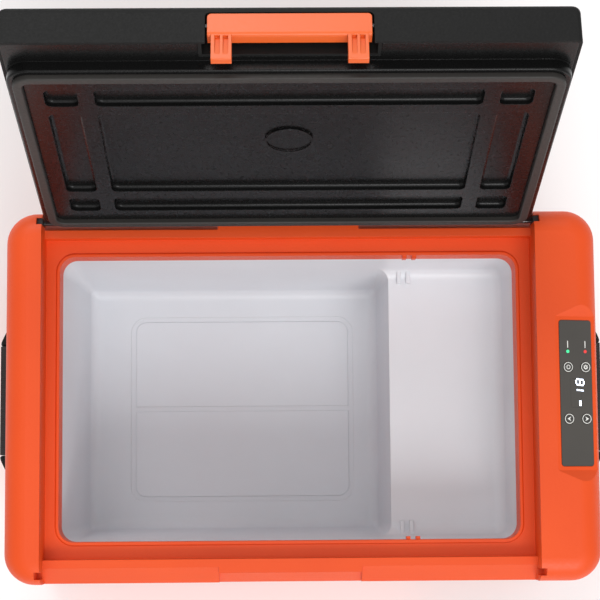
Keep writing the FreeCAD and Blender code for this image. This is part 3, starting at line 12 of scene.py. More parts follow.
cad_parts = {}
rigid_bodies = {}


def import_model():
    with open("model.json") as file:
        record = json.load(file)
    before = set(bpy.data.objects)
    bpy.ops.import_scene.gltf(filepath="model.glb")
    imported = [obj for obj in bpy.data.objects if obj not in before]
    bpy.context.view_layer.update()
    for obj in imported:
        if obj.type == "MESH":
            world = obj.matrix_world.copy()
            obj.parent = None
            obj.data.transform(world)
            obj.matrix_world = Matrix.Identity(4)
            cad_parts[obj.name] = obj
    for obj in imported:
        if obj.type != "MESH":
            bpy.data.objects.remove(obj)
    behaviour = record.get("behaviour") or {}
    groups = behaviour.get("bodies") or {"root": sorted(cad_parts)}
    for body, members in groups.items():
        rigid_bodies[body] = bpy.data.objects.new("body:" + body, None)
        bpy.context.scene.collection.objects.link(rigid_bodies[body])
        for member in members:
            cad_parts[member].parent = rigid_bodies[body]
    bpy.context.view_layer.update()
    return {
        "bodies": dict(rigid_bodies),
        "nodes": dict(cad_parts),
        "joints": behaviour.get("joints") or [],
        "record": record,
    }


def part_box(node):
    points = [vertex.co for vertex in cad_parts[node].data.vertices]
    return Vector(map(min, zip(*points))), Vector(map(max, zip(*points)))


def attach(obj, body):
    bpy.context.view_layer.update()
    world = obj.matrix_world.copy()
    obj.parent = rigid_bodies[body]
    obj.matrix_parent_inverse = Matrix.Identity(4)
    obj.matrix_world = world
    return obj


LOG = logging.getLogger("cooler")
MM = 0.001
RING_SIDES = 48
WELD_GAP = 1e-7
Colour = tuple[float, float, float]


# ------------------------------------------------------------------ shader helpers

class Shader:
    """A material's node tree with short ways to add and join nodes."""

    def __init__(self, name: str) -> None:
        """Start an empty material.

        Args:
            name: Name of the material.
        """
        self.material = bpy.data.materials.new(name)
        self.material.use_nodes = True
        self.tree = self.material.node_tree
        self.tree.nodes.clear()
        self.out = self.tree.nodes.new("ShaderNodeOutputMaterial")
        self.surface = self.tree.nodes.new("ShaderNodeBsdfPrincipled")
        self.join(self.surface.outputs["BSDF"], self.out.inputs["Surface"])
        self.coords = self.tree.nodes.new("ShaderNodeTexCoord").outputs["Object"]

    def join(self, source: bpy.types.NodeSocket, target: bpy.types.NodeSocket) -> None:
        """Link one socket to another."""
        self.tree.links.new(source, target)

    def set(self, socket: str, value: float | Colour) -> None:
        """Set a number or colour on the surface shader's own socket.

        Args:
            socket: Name of the shader's input.
            value: Number, or colour without alpha.
        """
        if isinstance(value, tuple):
            value = (*value, 1.0)
        self.surface.inputs[socket].default_value = value

    def noise(self, scale: float, detail: float = 3.0, rough: float = 0.55,
              stretch: Colour | None = None) -> bpy.types.NodeSocket:
        """Add a noise texture in object space.

        Args:
            scale: Cells per metre.
            detail: Octaves.
            rough: Weight of the finer octaves.
            stretch: Scale along each axis before the noise, or None.

        Returns:
            The noise value socket.
        """
        node = self.tree.nodes.new("ShaderNodeTexNoise")
        node.inputs["Scale"].default_value = scale
        node.inputs["Detail"].default_value = detail
        node.inputs["Roughness"].default_value = rough
        self.join(self.stretched(stretch), node.inputs["Vector"])
        return node.outputs["Fac"]

    def stretched(self, stretch: Colour | None) -> bpy.types.NodeSocket:
        """Object coordinates, scaled along each axis when stretch is given.

        Args:
            stretch: Scale along each axis, or None for none.

        Returns:
            The vector socket to feed a texture.
        """
        if stretch is None:
            return self.coords
        mapping = self.tree.nodes.new("ShaderNodeMapping")
        mapping.inputs["Scale"].default_value = stretch
        self.join(self.coords, mapping.inputs["Vector"])
        return mapping.outputs["Vector"]

    def cells(self, scale: float, feature: str = "F1") -> bpy.types.NodeSocket:
        """Add a Voronoi texture in object space and return its distance.

        Args:
            scale: Cells per metre.
            feature: Which Voronoi distance is taken.

        Returns:
            The distance socket.
        """
        node = self.tree.nodes.new("ShaderNodeTexVoronoi")
        node.feature = feature
        node.inputs["Scale"].default_value = scale
        self.join(self.coords, node.inputs["Vector"])
        return node.outputs["Distance"]

    def spread(self, source: bpy.types.NodeSocket, low: float, high: float,
               start: float = 0.3, end: float = 0.7) -> bpy.types.NodeSocket:
        """Map a value from start..end to low..high.

        Args:
            source: Value socket.
            low: Result at start.
            high: Result at end.
            start: Lower value of the source.
            end: Upper value of the source.

        Returns:
            The mapped value socket.
        """
        node = self.tree.nodes.new("ShaderNodeMapRange")
        node.inputs["From Min"].default_value = start
        node.inputs["From Max"].default_value = end
        node.inputs["To Min"].default_value = low
        node.inputs["To Max"].default_value = high
        self.join(source, node.inputs["Value"])
        return node.outputs["Result"]

    def blend(self, factor: bpy.types.NodeSocket, first: Colour, second: Colour) -> bpy.types.NodeSocket:
        """Mix two colours by a factor socket.

        Args:
            factor: Socket that chooses between the colours.
            first: Colour at 0.
            second: Colour at 1.

        Returns:
            The colour socket.
        """
        node = self.tree.nodes.new("ShaderNodeMix")
        node.data_type = "RGBA"
        node.inputs["A"].default_value = (*first, 1.0)
        node.inputs["B"].default_value = (*second, 1.0)
        self.join(factor, node.inputs["Factor"])
        return node.outputs["Result"]

    def bump(self, height: bpy.types.NodeSocket, depth: float, strength: float,
             below: bpy.types.NodeSocket | None = None) -> bpy.types.NodeSocket:
        """Turn a height into a normal.

        Args:
            height: Height socket.
            depth: Height of one unit in metres.
            strength: Share of the bump that is used.
            below: Normal that this bump adds to, or None.

        Returns:
            The new normal socket.
        """
        node = self.tree.nodes.new("ShaderNodeBump")
        node.inputs["Distance"].default_value = depth
        node.inputs["Strength"].default_value = strength
        self.join(height, node.inputs["Height"])
        if below is not None:
            self.join(below, node.inputs["Normal"])
        return node.outputs["Normal"]

    def edge_normal(self, radius: float) -> bpy.types.NodeSocket:
        """A normal that rounds sharp edges by a small radius.

        Args:
            radius: Radius of the rounding in metres.

        Returns:
            The normal socket.
        """
        node = self.tree.nodes.new("ShaderNodeBevel")
        node.samples = 4
        node.inputs["Radius"].default_value = radius
        return node.outputs["Normal"]


# ------------------------------------------------------------------ finishes

@dataclass(frozen=True)
class Moulded:
    """Injection-moulded plastic or rubber with a grain and slight colour drift."""

    name: str
    light: Colour
    dark: Colour
    rough_low: float = 0.35
    rough_high: float = 0.5
    drift_scale: float = 9.0
    grain_scale: float = 900.0
    grain_depth: float = 0.00012
    grain_strength: float = 0.4
    pebbled: bool = False
    edge: float = 0.0008
    specular: float = 0.5
    coat: float = 0.0
    glow: float = 0.0

    def make(self) -> bpy.types.Material:
        """Build the material and return it.

        Returns:
            The finished material.
        """
        shade = Shader(self.name)
        drift = shade.spread(shade.noise(self.drift_scale, 4.0), 0.0, 1.0)
        shade.join(shade.blend(drift, self.dark, self.light), shade.surface.inputs["Base Color"])
        fine = shade.noise(self.grain_scale, 3.0, 0.6)
        height = shade.cells(self.grain_scale * 0.55, "SMOOTH_F1") if self.pebbled else fine
        rough = shade.spread(fine, self.rough_low, self.rough_high)
        shade.join(rough, shade.surface.inputs["Roughness"])
        normal = shade.edge_normal(self.edge)
        normal = shade.bump(height, self.grain_depth, self.grain_strength, normal)
        shade.join(normal, shade.surface.inputs["Normal"])
        shade.set("Specular IOR Level", self.specular)
        shade.set("Coat Weight", self.coat)
        if self.glow:
            shade.set("Emission Color", self.light)
            shade.set("Emission Strength", self.glow)
        return shade.material


@dataclass(frozen=True)
class Metal:
    """Drawn, rolled or plated metal with fine lines along one axis."""

    name: str
    light: Colour
    dark: Colour
    rough_low: float = 0.22
    rough_high: float = 0.42
    stretch: Colour = (4.0, 260.0, 260.0)

    def make(self) -> bpy.types.Material:
        """Build the material and return it.

        Returns:
            The finished material.
        """
        shade = Shader(self.name)
        lines = shade.noise(3.0, 5.0, 0.6, self.stretch)
        stain = shade.noise(22.0, 4.0)
        shade.join(shade.blend(stain, self.dark, self.light), shade.surface.inputs["Base Color"])
        shade.join(shade.spread(lines, self.rough_low, self.rough_high), shade.surface.inputs["Roughness"])
        normal = shade.bump(lines, 0.00004, 0.3, shade.edge_normal(0.0003))
        shade.join(normal, shade.surface.inputs["Normal"])
        shade.set("Metallic", 1.0)
        return shade.material


@dataclass(frozen=True)
class Foamed:
    """Rigid foam with an open, pitted skin."""

    name: str
    light: Colour
    dark: Colour

    def make(self) -> bpy.types.Material:
        """Build the material and return it.

        Returns:
            The finished material.
        """
        shade = Shader(self.name)
        pits = shade.cells(420.0)
        shade.join(shade.blend(shade.spread(pits, 0.0, 1.0, 0.1, 0.6), self.dark, self.light),
                   shade.surface.inputs["Base Color"])
        shade.join(shade.spread(pits, 0.75, 0.95, 0.0, 0.7), shade.surface.inputs["Roughness"])
        shade.join(shade.bump(pits, 0.0008, 0.5), shade.surface.inputs["Normal"])
        return shade.material


@dataclass(frozen=True)
class Board:
    """Circuit board: solder mask over faint copper tracks."""

    name: str = "board_green"
    mask: Colour = (0.012, 0.09, 0.035)
    track: Colour = (0.03, 0.19, 0.07)

    def make(self) -> bpy.types.Material:
        """Build the material and return it.

        Returns:
            The finished material.
        """
        shade = Shader(self.name)
        brick = shade.tree.nodes.new("ShaderNodeTexBrick")
        brick.inputs["Scale"].default_value = 90.0
        brick.inputs["Mortar Size"].default_value = 0.06
        brick.inputs["Color1"].default_value = (*self.mask, 1.0)
        brick.inputs["Color2"].default_value = (*self.mask, 1.0)
        brick.inputs["Mortar"].default_value = (*self.track, 1.0)
        turn = shade.tree.nodes.new("ShaderNodeMapping")
        turn.inputs["Rotation"].default_value = (0.0, math.pi / 2, 0.0)
        shade.join(shade.coords, turn.inputs["Vector"])
        shade.join(turn.outputs["Vector"], brick.inputs["Vector"])
        shade.join(brick.outputs["Color"], shade.surface.inputs["Base Color"])
        shade.join(shade.spread(shade.noise(300.0), 0.25, 0.4), shade.surface.inputs["Roughness"])
        shade.join(shade.bump(brick.outputs["Fac"], 0.0001, 0.3), shade.surface.inputs["Normal"])
        return shade.material


class Look(Enum):
    """Every finish on the cooler."""

    ORANGE = Moulded("orange_shell", (0.80, 0.078, 0.004), (0.76, 0.068, 0.003), 0.40, 0.56,
                     grain_scale=620.0, grain_depth=0.00016, grain_strength=0.42, pebbled=True,
                     specular=0.42)
    LATCH = Moulded("orange_latch", (0.80, 0.125, 0.014), (0.77, 0.112, 0.011), 0.3, 0.4,
                    grain_strength=0.12, edge=0.0009)
    BLACK_GRAIN = Moulded("black_grain", (0.009, 0.009, 0.0088), (0.006, 0.006, 0.0058), 0.5, 0.66,
                          grain_scale=700.0, grain_depth=0.0003, grain_strength=0.6, pebbled=True,
                          specular=0.2)
    BLACK_SMOOTH = Moulded("black_smooth", (0.0065, 0.0065, 0.0065), (0.0045, 0.0045, 0.0045), 0.22, 0.3,
                           grain_scale=300.0, grain_strength=0.04, specular=0.22)
    LINER = Moulded("white_liner", (0.76, 0.775, 0.81), (0.73, 0.745, 0.78), 0.3, 0.4,
                    grain_scale=500.0, grain_strength=0.05, specular=0.35)
    DARK = Moulded("dark_plastic", (0.018, 0.018, 0.018), (0.012, 0.012, 0.012), 0.45, 0.6,
                   grain_strength=0.35)
    PANEL = Moulded("panel_grey", (0.072, 0.065, 0.057), (0.060, 0.055, 0.049), 0.3, 0.42,
                    grain_scale=1600.0, grain_strength=0.2, edge=0.0003)
    KEY = Moulded("key_face", (0.050, 0.046, 0.042), (0.043, 0.040, 0.036), 0.32, 0.42,
                  grain_scale=1600.0, grain_strength=0.15, edge=0.0003)
    INK = Moulded("white_ink", (0.86, 0.85, 0.80), (0.80, 0.79, 0.75), 0.45, 0.6,
                  grain_strength=0.1, edge=0.0001)
    DIGIT = Moulded("digit_glow", (0.75, 0.83, 1.0), (0.70, 0.80, 1.0), glow=2.2, edge=0.0001)
    LAMP_GREEN = Moulded("lamp_green", (0.05, 0.62, 0.26), (0.04, 0.55, 0.22), glow=0.9, edge=0.0002)
    LAMP_RED = Moulded("lamp_red", (0.72, 0.05, 0.045), (0.65, 0.04, 0.04), glow=0.45, edge=0.0002)
    SEAL = Moulded("seal_rubber", (0.030, 0.027, 0.024), (0.024, 0.021, 0.019), 0.5, 0.66,
                   grain_scale=420.0, grain_strength=0.25)
    FOOT = Moulded("foot_rubber", (0.022, 0.022, 0.022), (0.016, 0.016, 0.016), 0.65, 0.85,
                   grain_strength=0.5)
    FOAM = Foamed("foam", (0.80, 0.68, 0.38), (0.66, 0.52, 0.26))
    STEEL = Metal("steel", (0.62, 0.62, 0.62), (0.50, 0.50, 0.51))
    ALUMINIUM = Metal("aluminium", (0.80, 0.80, 0.82), (0.66, 0.67, 0.69), stretch=(260.0, 260.0, 4.0))
    COPPER = Metal("copper", (0.80, 0.36, 0.20), (0.62, 0.25, 0.13))
    BLACK_METAL = Moulded("black_metal", (0.018, 0.018, 0.018), (0.014, 0.014, 0.014), 0.18, 0.3,
                          grain_strength=0.1, coat=0.4)
    BOARD = Board()


class Paints:
    """Makes each finish once and hands it out."""

    def __init__(self) -> None:
        """Start with no material made."""
        self.made: dict[Look, bpy.types.Material] = {}

    def get(self, look: Look) -> bpy.types.Material:
        """Return the material of a finish, made on first use.

        Args:
            look: The finish.

        Returns:
            Its material.
        """
        if look not in self.made:
            self.made[look] = look.value.make()
        return self.made[look]


PAINTS = Paints()

NODE_LOOKS: dict[Look, tuple[str, ...]] = {
    Look.ORANGE: ("top_frame", "outer_casing"),
    Look.LATCH: ("latch_bar",),
    Look.BLACK_GRAIN: ("lid_cover", "handle_left", "handle_right"),
    Look.BLACK_SMOOTH: ("lid_inner_panel", "foam_port_cap"),
    Look.LINER: ("liner_tub",),
    Look.DARK: ("base_tray", "fan_frame", "fan_rotor", "handle_bracket_left", "handle_bracket_right",
                "hinge_bushes", "power_socket", "vent_grille_end", "vent_grille_front", "vent_grille_back",
                "module_standoffs", "module_capacitors", "control_loom"),
    Look.PANEL: ("panel_plate", "display_window"),
    Look.KEY: ("key_power", "key_mode", "key_up", "key_down"),
    Look.LAMP_GREEN: ("led_green",),
    Look.LAMP_RED: ("led_red",),
    Look.SEAL: ("lid_gasket",),
    Look.FOOT: ("rubber_feet", "compressor_grommets"),
    Look.FOAM: ("foam_jacket", "lid_foam"),
    Look.STEEL: ("foot_screws", "compressor_plate", "compressor_bolts", "fan_screws", "handle_pins_left",
                 "handle_pins_right", "latch_spring", "bay_bulkhead", "fan_bracket", "temperature_sensor"),
    Look.ALUMINIUM: ("evaporator_plate", "condenser_fins", "module_heat_sink"),
    Look.COPPER: ("evaporator_tube", "condenser_coil", "suction_pipe", "discharge_pipe", "filter_dryer",
                  "socket_pins"),
    Look.BLACK_METAL: ("compressor_body", "lid_hinge_pins", "latch_pin"),
    Look.BOARD: ("control_board", "panel_board"),
}


def dress_nodes(nodes: dict[str, bpy.types.Object]) -> None:
    """Give every CAD node its finish.

    Args:
        nodes: The frame's node objects by name.
    """
    for look, names in NODE_LOOKS.items():
        for name in names:
            node = nodes[name]
            node.data.materials.clear()
            node.data.materials.append(PAINTS.get(look))
            LOG.info("dressed %s as %s", name, look.name)


# ------------------------------------------------------------------ mesh helpers

def piece(name: str, mesh: bmesh.types.BMesh, look: Look, body: str) -> bpy.types.Object:
    """Make a finished object that rides on a body.

    Args:
        name: Object name.
        mesh: Its mesh, in metres and in place; it is freed.
        look: Its finish.
        body: CAD body that it moves with.

    Returns:
        The new object.
    """
    bmesh.ops.remove_doubles(mesh, verts=mesh.verts, dist=WELD_GAP)
    bmesh.ops.recalc_face_normals(mesh, faces=mesh.faces)
    data = bpy.data.meshes.new(name)
    mesh.to_mesh(data)
    mesh.free()
    data.materials.append(PAINTS.get(look))
    thing = bpy.data.objects.new(name, data)
    bpy.context.scene.collection.objects.link(thing)
    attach(thing, body)
    LOG.info("built %s", name)
    return thing


@dataclass
class Facet:
    """The sloping plane that the control panel lies on."""

    origin: Vector
    along: Vector
    across: Vector
    normal: Vector

    def place(self, down: float, y: float, lift: float = 0.0) -> Vector:
        """Point on the facet: down the slope, along Y, and above the surface, in metres.

        Args:
            down: Distance down the slope.
            y: Distance along Y.
            lift: Height above the surface.

        Returns:
            The point.
        """
        return self.origin + self.along * down + self.across * y + self.normal * lift

    def prism(self, mesh: bmesh.types.BMesh, outline: list[tuple[float, float]], low: float,
              high: float) -> None:
        """Add a closed prism whose outline is given as (down, y) points.

        Args:
            mesh: Mesh to add to.
            outline: Corners as (down, y) points.
            low: Height of the bottom.
            high: Height of the top.
        """
        bottom = [mesh.verts.new(self.place(u, v, low)) for u, v in outline]
        top = [mesh.verts.new(self.place(u, v, high)) for u, v in outline]
        mesh.faces.new(top)
        mesh.faces.new(list(reversed(bottom)))
        count = len(outline)
        for i in range(count):
            j = (i + 1) % count
            mesh.faces.new((bottom[i], bottom[j], top[j], top[i]))

    def ring(self, mesh: bmesh.types.BMesh, centre: tuple[float, float], inner: float, outer: float,
             low: float, high: float, start: float = 0.0, sweep: float = math.tau) -> None:
        """Add a flat ring, or an arc of one when sweep is under a full turn.

        Args:
            mesh: Mesh to add to.
            centre: Middle as (down, y).
            inner: Inner radius.
            outer: Outer radius.
            low: Height of the bottom.
            high: Height of the top.
            start: Angle of the first end.
            sweep: Angle covered.
        """
        closed = sweep >= math.tau - 1e-6
        spots = RING_SIDES if closed else RING_SIDES + 1
        rows = []
        for i in range(spots):
            angle = start + sweep * i / RING_SIDES
            row = []
            for radius, lift in ((inner, low), (outer, low), (outer, high), (inner, high)):
                down = centre[0] + radius * math.cos(angle)
                side = centre[1] + radius * math.sin(angle)
                row.append(mesh.verts.new(self.place(down, side, lift)))
            rows.append(row)
        last = spots if closed else spots - 1
        for i in range(last):
            first, second = rows[i], rows[(i + 1) % spots]
            for j in range(4):
                k = (j + 1) % 4
                mesh.faces.new((first[j], first[k], second[k], second[j]))
        if not closed:
            mesh.faces.new(list(reversed(rows[0])))
            mesh.faces.new(rows[-1])


# ------------------------------------------------------------------ control panel

class Mark(Enum):
    """Printed symbol on a key."""

    POWER = "key_power"
    MODE = "key_mode"
    UP = "key_up"
    DOWN = "key_down"


@dataclass
class ControlPanel:
    """Printed rings, symbols and lit digits on the sloping panel."""

    frame: dict
    ring_inner: float = 4.1 * MM
    ring_outer: float = 4.75 * MM
    ink: float = 0.06 * MM
    teeth: int = 8
    digit_middle: float = 4.2 * MM
    digit_tall: float = 8.0 * MM
    digit_wide: float = 5.4 * MM
    stroke: float = 1.5 * MM
    lean: float = 0.1
    facet: Facet = field(init=False)

    def __post_init__(self) -> None:
        """Work out the facet from the keys' travel and the panel plate."""
        joint = next(item for item in self.frame["joints"] if item["child"] == "power_key")
        normal = -Vector(joint["axis"]).normalized()
        across = Vector((0.0, 1.0, 0.0))
        along = across.cross(normal).normalized()
        self.facet = Facet(Vector((0.0, 0.0, 0.0)), along, across, normal)
        low, high = (Vector(corner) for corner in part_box("display_window"))
        self.facet.origin = (low + high) / 2
        self.half_plate = self.top_of("display_window", self.facet.origin)

    def top_of(self, node: str, centre: Vector) -> float:
        """Height of a node's outer face above a point, along the facet's normal.

        Args:
            node: Name of the CAD node.
            centre: Point that the height is measured from.

        Returns:
            The height in metres.
        """
        vertices = self.frame["nodes"][node].data.vertices
        return max((vertex.co - centre).dot(self.facet.normal) for vertex in vertices)

    def centre_of(self, node: str) -> tuple[float, float]:
        """Where a node's middle lies on the facet, as (down, y).

        Args:
            node: Name of the CAD node.

        Returns:
            The two distances in metres.
        """
        low, high = (Vector(corner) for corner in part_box(node))
        offset = (low + high) / 2 - self.facet.origin
        return offset.dot(self.facet.along), offset.dot(self.facet.across)

    def build(self) -> None:
        """Make the marks on the keys and the digits in the window."""
        for mark in Mark:
            self.key_mark(mark)
        self.digits()
        self.lamp_marks()

    def key_mark(self, mark: Mark) -> None:
        """Print a ring and a symbol on one key.

        Args:
            mark: Which key and symbol.
        """
        node = mark.value
        low = self.top_of(node, self.facet.origin)
        high = low + self.ink
        low -= self.ink
        u, v = self.centre_of(node)
        mesh = bmesh.new()
        self.facet.ring(mesh, (u, v), self.ring_inner, self.ring_outer, low, high)
        kind = node.removeprefix("key_")
        if mark is Mark.POWER:
            self.facet.ring(mesh, (u, v), 1.5 * MM, 2.2 * MM, low, high, math.pi + 0.55, math.tau - 1.1)
            self.facet.prism(mesh, self.bar(u - 1.6 * MM, v, 1.3 * MM, 0.35 * MM), low, high)
        elif mark is Mark.MODE:
            self.facet.ring(mesh, (u, v), 0.9 * MM, 1.8 * MM, low, high)
            for i in range(self.teeth):
                angle = math.tau * i / self.teeth
                self.facet.prism(mesh, self.tooth(u, v, angle), low, high)
        else:
            side = -1 if mark is Mark.UP else 1
            self.facet.prism(mesh, self.arrow(u, v, side), low, high)
        piece(f"mark_{node}", mesh, Look.INK, f"{kind}_key")

    @staticmethod
    def bar(u: float, v: float, half_u: float, half_v: float) -> list[tuple[float, float]]:
        """Outline of a small rectangle.

        Args:
            u: Middle down the slope.
            v: Middle along Y.
            half_u: Half length down the slope.
            half_v: Half length along Y.

        Returns:
            Four corners.
        """
        return [(u - half_u, v - half_v), (u + half_u, v - half_v), (u + half_u, v + half_v),
                (u - half_u, v + half_v)]

    @staticmethod
    def tooth(u: float, v: float, angle: float) -> list[tuple[float, float]]:
        """Outline of one tooth of the cog symbol.

        Args:
            u: Middle of the cog down the slope.
            v: Middle of the cog along Y.
            angle: Direction of the tooth.

        Returns:
            Four corners.
        """
        points = []
        for radius, turn in ((1.75 * MM, -0.24), (2.5 * MM, -0.15), (2.5 * MM, 0.15), (1.75 * MM, 0.24)):
            points.append((u + radius * math.cos(angle + turn), v + radius * math.sin(angle + turn)))
        return points

    @staticmethod
    def arrow(u: float, v: float, side: int) -> list[tuple[float, float]]:
        """Outline of a notched arrowhead that points up or down the slope.

        Args:
            u: Middle down the slope.
            v: Middle along Y.
            side: -1 to point up the slope, 1 to point down.

        Returns:
            Four corners.
        """
        tip = 2.2 * MM
        wing = 2.3 * MM
        back = 1.7 * MM
        notch = 0.5 * MM
        return [(u + side * tip, v), (u - side * back, v + wing), (u - side * notch, v),
                (u - side * back, v - wing)]

    def digits(self) -> None:
        """Lit minus sign and two figures, read from the cabinet's end."""
        low = self.half_plate - self.ink
        high = self.half_plate + self.ink
        mesh = bmesh.new()
        middle = self.digit_middle
        self.figure(mesh, "abcdefg", middle, 10.5 * MM, low, high)
        self.figure(mesh, "bc", middle, 2.6 * MM, low, high)
        self.facet.prism(mesh, self.bar(middle, -10.0 * MM, 1.1 * MM, 2.6 * MM), low, high)
        piece("display_digits", mesh, Look.DIGIT, "cabinet")

    def lamp_marks(self) -> None:
        """Plain printed dash beside each lamp."""
        mesh = bmesh.new()
        for node in ("led_green", "led_red"):
            u, v = self.centre_of(node)
            self.facet.prism(mesh, self.bar(u, v + 7.0 * MM, 0.45 * MM, 3.4 * MM),
                             self.half_plate - self.ink, self.half_plate + self.ink * 0.5)
        piece("lamp_marks", mesh, Look.INK, "cabinet")

    def figure(self, mesh: bmesh.types.BMesh, segments: str, middle: float, centre: float, low: float,
               high: float) -> None:
        """Add one seven-segment figure; its top points up the slope and it reads along +Y.

        Args:
            mesh: Mesh to add to.
            segments: Letters of the lit segments, a to g.
            middle: Middle down the slope.
            centre: Middle along Y.
            low: Height of the bottom.
            high: Height of the top.
        """
        tall, wide, stroke = self.digit_tall / 2, self.digit_wide / 2, self.stroke / 2
        rows = {"a": -tall, "g": 0.0, "d": tall}
        for letter, u in rows.items():
            if letter in segments:
                halves = (stroke, wide - stroke * 1.3)
                self.facet.prism(mesh, self.slanted(middle, u, centre, halves), low, high)
        uprights = {"f": (-tall / 2, -wide), "b": (-tall / 2, wide), "e": (tall / 2, -wide),
                    "c": (tall / 2, wide)}
        for letter, (u, v) in uprights.items():
            if letter in segments:
                v = 0.0 if segments == "bc" else v
                sides = (tall / 2 - stroke * 0.5, stroke)
                self.facet.prism(mesh, self.slanted(middle, u, centre + v, sides), low, high)

    def slanted(self, middle: float, u: float, v: float,
                halves: tuple[float, float]) -> list[tuple[float, float]]:
        """Outline of a segment that leans with the figure.

        Args:
            middle: Middle of the figure down the slope.
            u: Middle of the segment from there.
            v: Middle of the segment along Y.
            halves: Half lengths down the slope and along Y.

        Returns:
            Four corners.
        """
        return [(middle + x, y - x * self.lean) for x, y in self.bar(u, v, *halves)]


# ------------------------------------------------------------------ repeated details

class Stud(Enum):
    """Primitive that a repeat copies."""

    BOX = "GeometryNodeMeshCube"
    ROD = "GeometryNodeMeshCylinder"


@dataclass(frozen=True)
class Repeat:
    """One primitive copied onto every point of a list by a node tree.

    A box's size is its three lengths. A rod's is its radius, its length and its number of sides.
    """

    name: str
    stud: Stud
    size: Colour
    points: list[Colour]
    look: Look
    body: str
    slot: str
    turn: Colour = (0.0, 0.0, 0.0)
    jitter: float = 0.0
    seed: int = 11

    def build(self) -> bpy.types.Object:
        """Evaluate the node tree once and keep its result as a plain mesh.

        Returns:
            The finished object, riding on its body.
        """
        tree = self.tree()
        points = bpy.data.meshes.new(f"{self.name}_points")
        points.from_pydata(self.points, [], [])
        holder = bpy.data.objects.new(f"{self.name}_holder", points)
        bpy.context.scene.collection.objects.link(holder)
        modifier = holder.modifiers.new("repeat", "NODES")
        modifier.node_group = tree
        values = {"Size": self.size, "Turn": self.turn, "Jitter": self.jitter, "Seed": self.seed,
                  "Finish": PAINTS.get(self.look)}
        for socket in tree.interface.items_tree:
            if socket.name in values:
                modifier[socket.identifier] = values[socket.name]
        holder.update_tag()
        graph = bpy.context.evaluated_depsgraph_get()
        data = bpy.data.meshes.new_from_object(holder.evaluated_get(graph))
        holder.modifiers.remove(modifier)
        bpy.data.objects.remove(holder)
        bpy.data.node_groups.remove(tree)
        thing = bpy.data.objects.new(self.name, data)
        bpy.context.scene.collection.objects.link(thing)
        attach(thing, self.body)
        LOG.info("built %s: %d copies", self.name, len(self.points))
        return thing

    def tree(self) -> bpy.types.GeometryNodeTree:
        """Make the node tree.

        Returns:
            A tree that instances the primitive on points, then realizes it and sets its material.
        """
        tree = bpy.data.node_groups.new(f"{self.name}_nodes", "GeometryNodeTree")
        tree.interface.new_socket("Geometry", in_out="INPUT", socket_type="NodeSocketGeometry")
        kinds = {"Size": "NodeSocketVector", "Turn": "NodeSocketVector", "Jitter": "NodeSocketFloat",
                 "Seed": "NodeSocketInt", "Finish": "NodeSocketMaterial"}
        for name, kind in kinds.items():
            tree.interface.new_socket(name, in_out="INPUT", socket_type=kind)
        tree.interface.new_socket("Geometry", in_out="OUTPUT", socket_type="NodeSocketGeometry")
        start = tree.nodes.new("NodeGroupInput").outputs
        end = tree.nodes.new("NodeGroupOutput").inputs
        copies = tree.nodes.new("GeometryNodeInstanceOnPoints")
        realize = tree.nodes.new("GeometryNodeRealizeInstances")
        paint = tree.nodes.new("GeometryNodeSetMaterial")
        turn = tree.nodes.new("FunctionNodeEulerToRotation")
        tree.links.new(start["Geometry"], copies.inputs["Points"])
        tree.links.new(self.primitive(tree, start["Size"]), copies.inputs["Instance"])
        tree.links.new(start["Turn"], turn.inputs["Euler"])
        tree.links.new(turn.outputs["Rotation"], copies.inputs["Rotation"])
        tree.links.new(self.spread(tree, start["Jitter"], start["Seed"]), copies.inputs["Scale"])
        tree.links.new(copies.outputs["Instances"], realize.inputs["Geometry"])
        tree.links.new(realize.outputs["Geometry"], paint.inputs["Geometry"])
        tree.links.new(start["Finish"], paint.inputs["Material"])
        tree.links.new(paint.outputs["Geometry"], end["Geometry"])
        return tree

    def primitive(self, tree: bpy.types.GeometryNodeTree,
                  size: bpy.types.NodeSocket) -> bpy.types.NodeSocket:
        """Add the primitive's node, driven by the size input.

        Args:
            tree: The tree to add to.
            size: The tree's size input.

        Returns:
            The primitive's mesh socket.
        """
        shape = tree.nodes.new(self.stud.value)
        if self.stud is Stud.BOX:
            tree.links.new(size, shape.inputs["Size"])
            return shape.outputs["Mesh"]
        split = tree.nodes.new("ShaderNodeSeparateXYZ")
        tree.links.new(size, split.inputs["Vector"])
        for output, target in (("X", "Radius"), ("Y", "Depth"), ("Z", "Vertices")):
            tree.links.new(split.outputs[output], shape.inputs[target])
        return shape.outputs["Mesh"]

    @staticmethod
    def spread(tree: bpy.types.GeometryNodeTree, jitter: bpy.types.NodeSocket,
               seed: bpy.types.NodeSocket) -> bpy.types.NodeSocket:
        """Add a random scale between one less and one more the jitter.

        Args:
            tree: The tree to add to.
            jitter: The tree's jitter input.
            seed: The tree's seed input.

        Returns:
            The scale socket.
        """
        less = tree.nodes.new("ShaderNodeMath")
        less.operation = "SUBTRACT"
        less.inputs[0].default_value = 1.0
        more = tree.nodes.new("ShaderNodeMath")
        more.inputs[0].default_value = 1.0
        pick = tree.nodes.new("FunctionNodeRandomValue")
        for node, target in ((less, "Min"), (more, "Max")):
            tree.links.new(jitter, node.inputs[1])
            socket = next(item for item in pick.inputs if item.name == target and item.enabled)
            tree.links.new(node.outputs[0], socket)
        tree.links.new(seed, pick.inputs["Seed"])
        return next(socket for socket in pick.outputs if socket.enabled)


def steps(start: float, end: float, pitch: float) -> list[float]:
    """Evenly pitched values from start to end, in millimetres.

    Args:
        start: First value.
        end: Last value, met to within half a pitch.
        pitch: Distance between values.

    Returns:
        The values.
    """
    count = int(round((end - start) / pitch)) + 1
    return [start + i * pitch for i in range(count)]


def grid(xs: list[float], ys: list[float], zs: list[float]) -> list[Colour]:
    """Every point of three lists of millimetre values, in metres.

    Args:
        xs: Values along X.
        ys: Values along Y.
        zs: Values along Z.

    Returns:
        The points.
    """
    return [(x * MM, y * MM, z * MM) for x in xs for y in ys for z in zs]


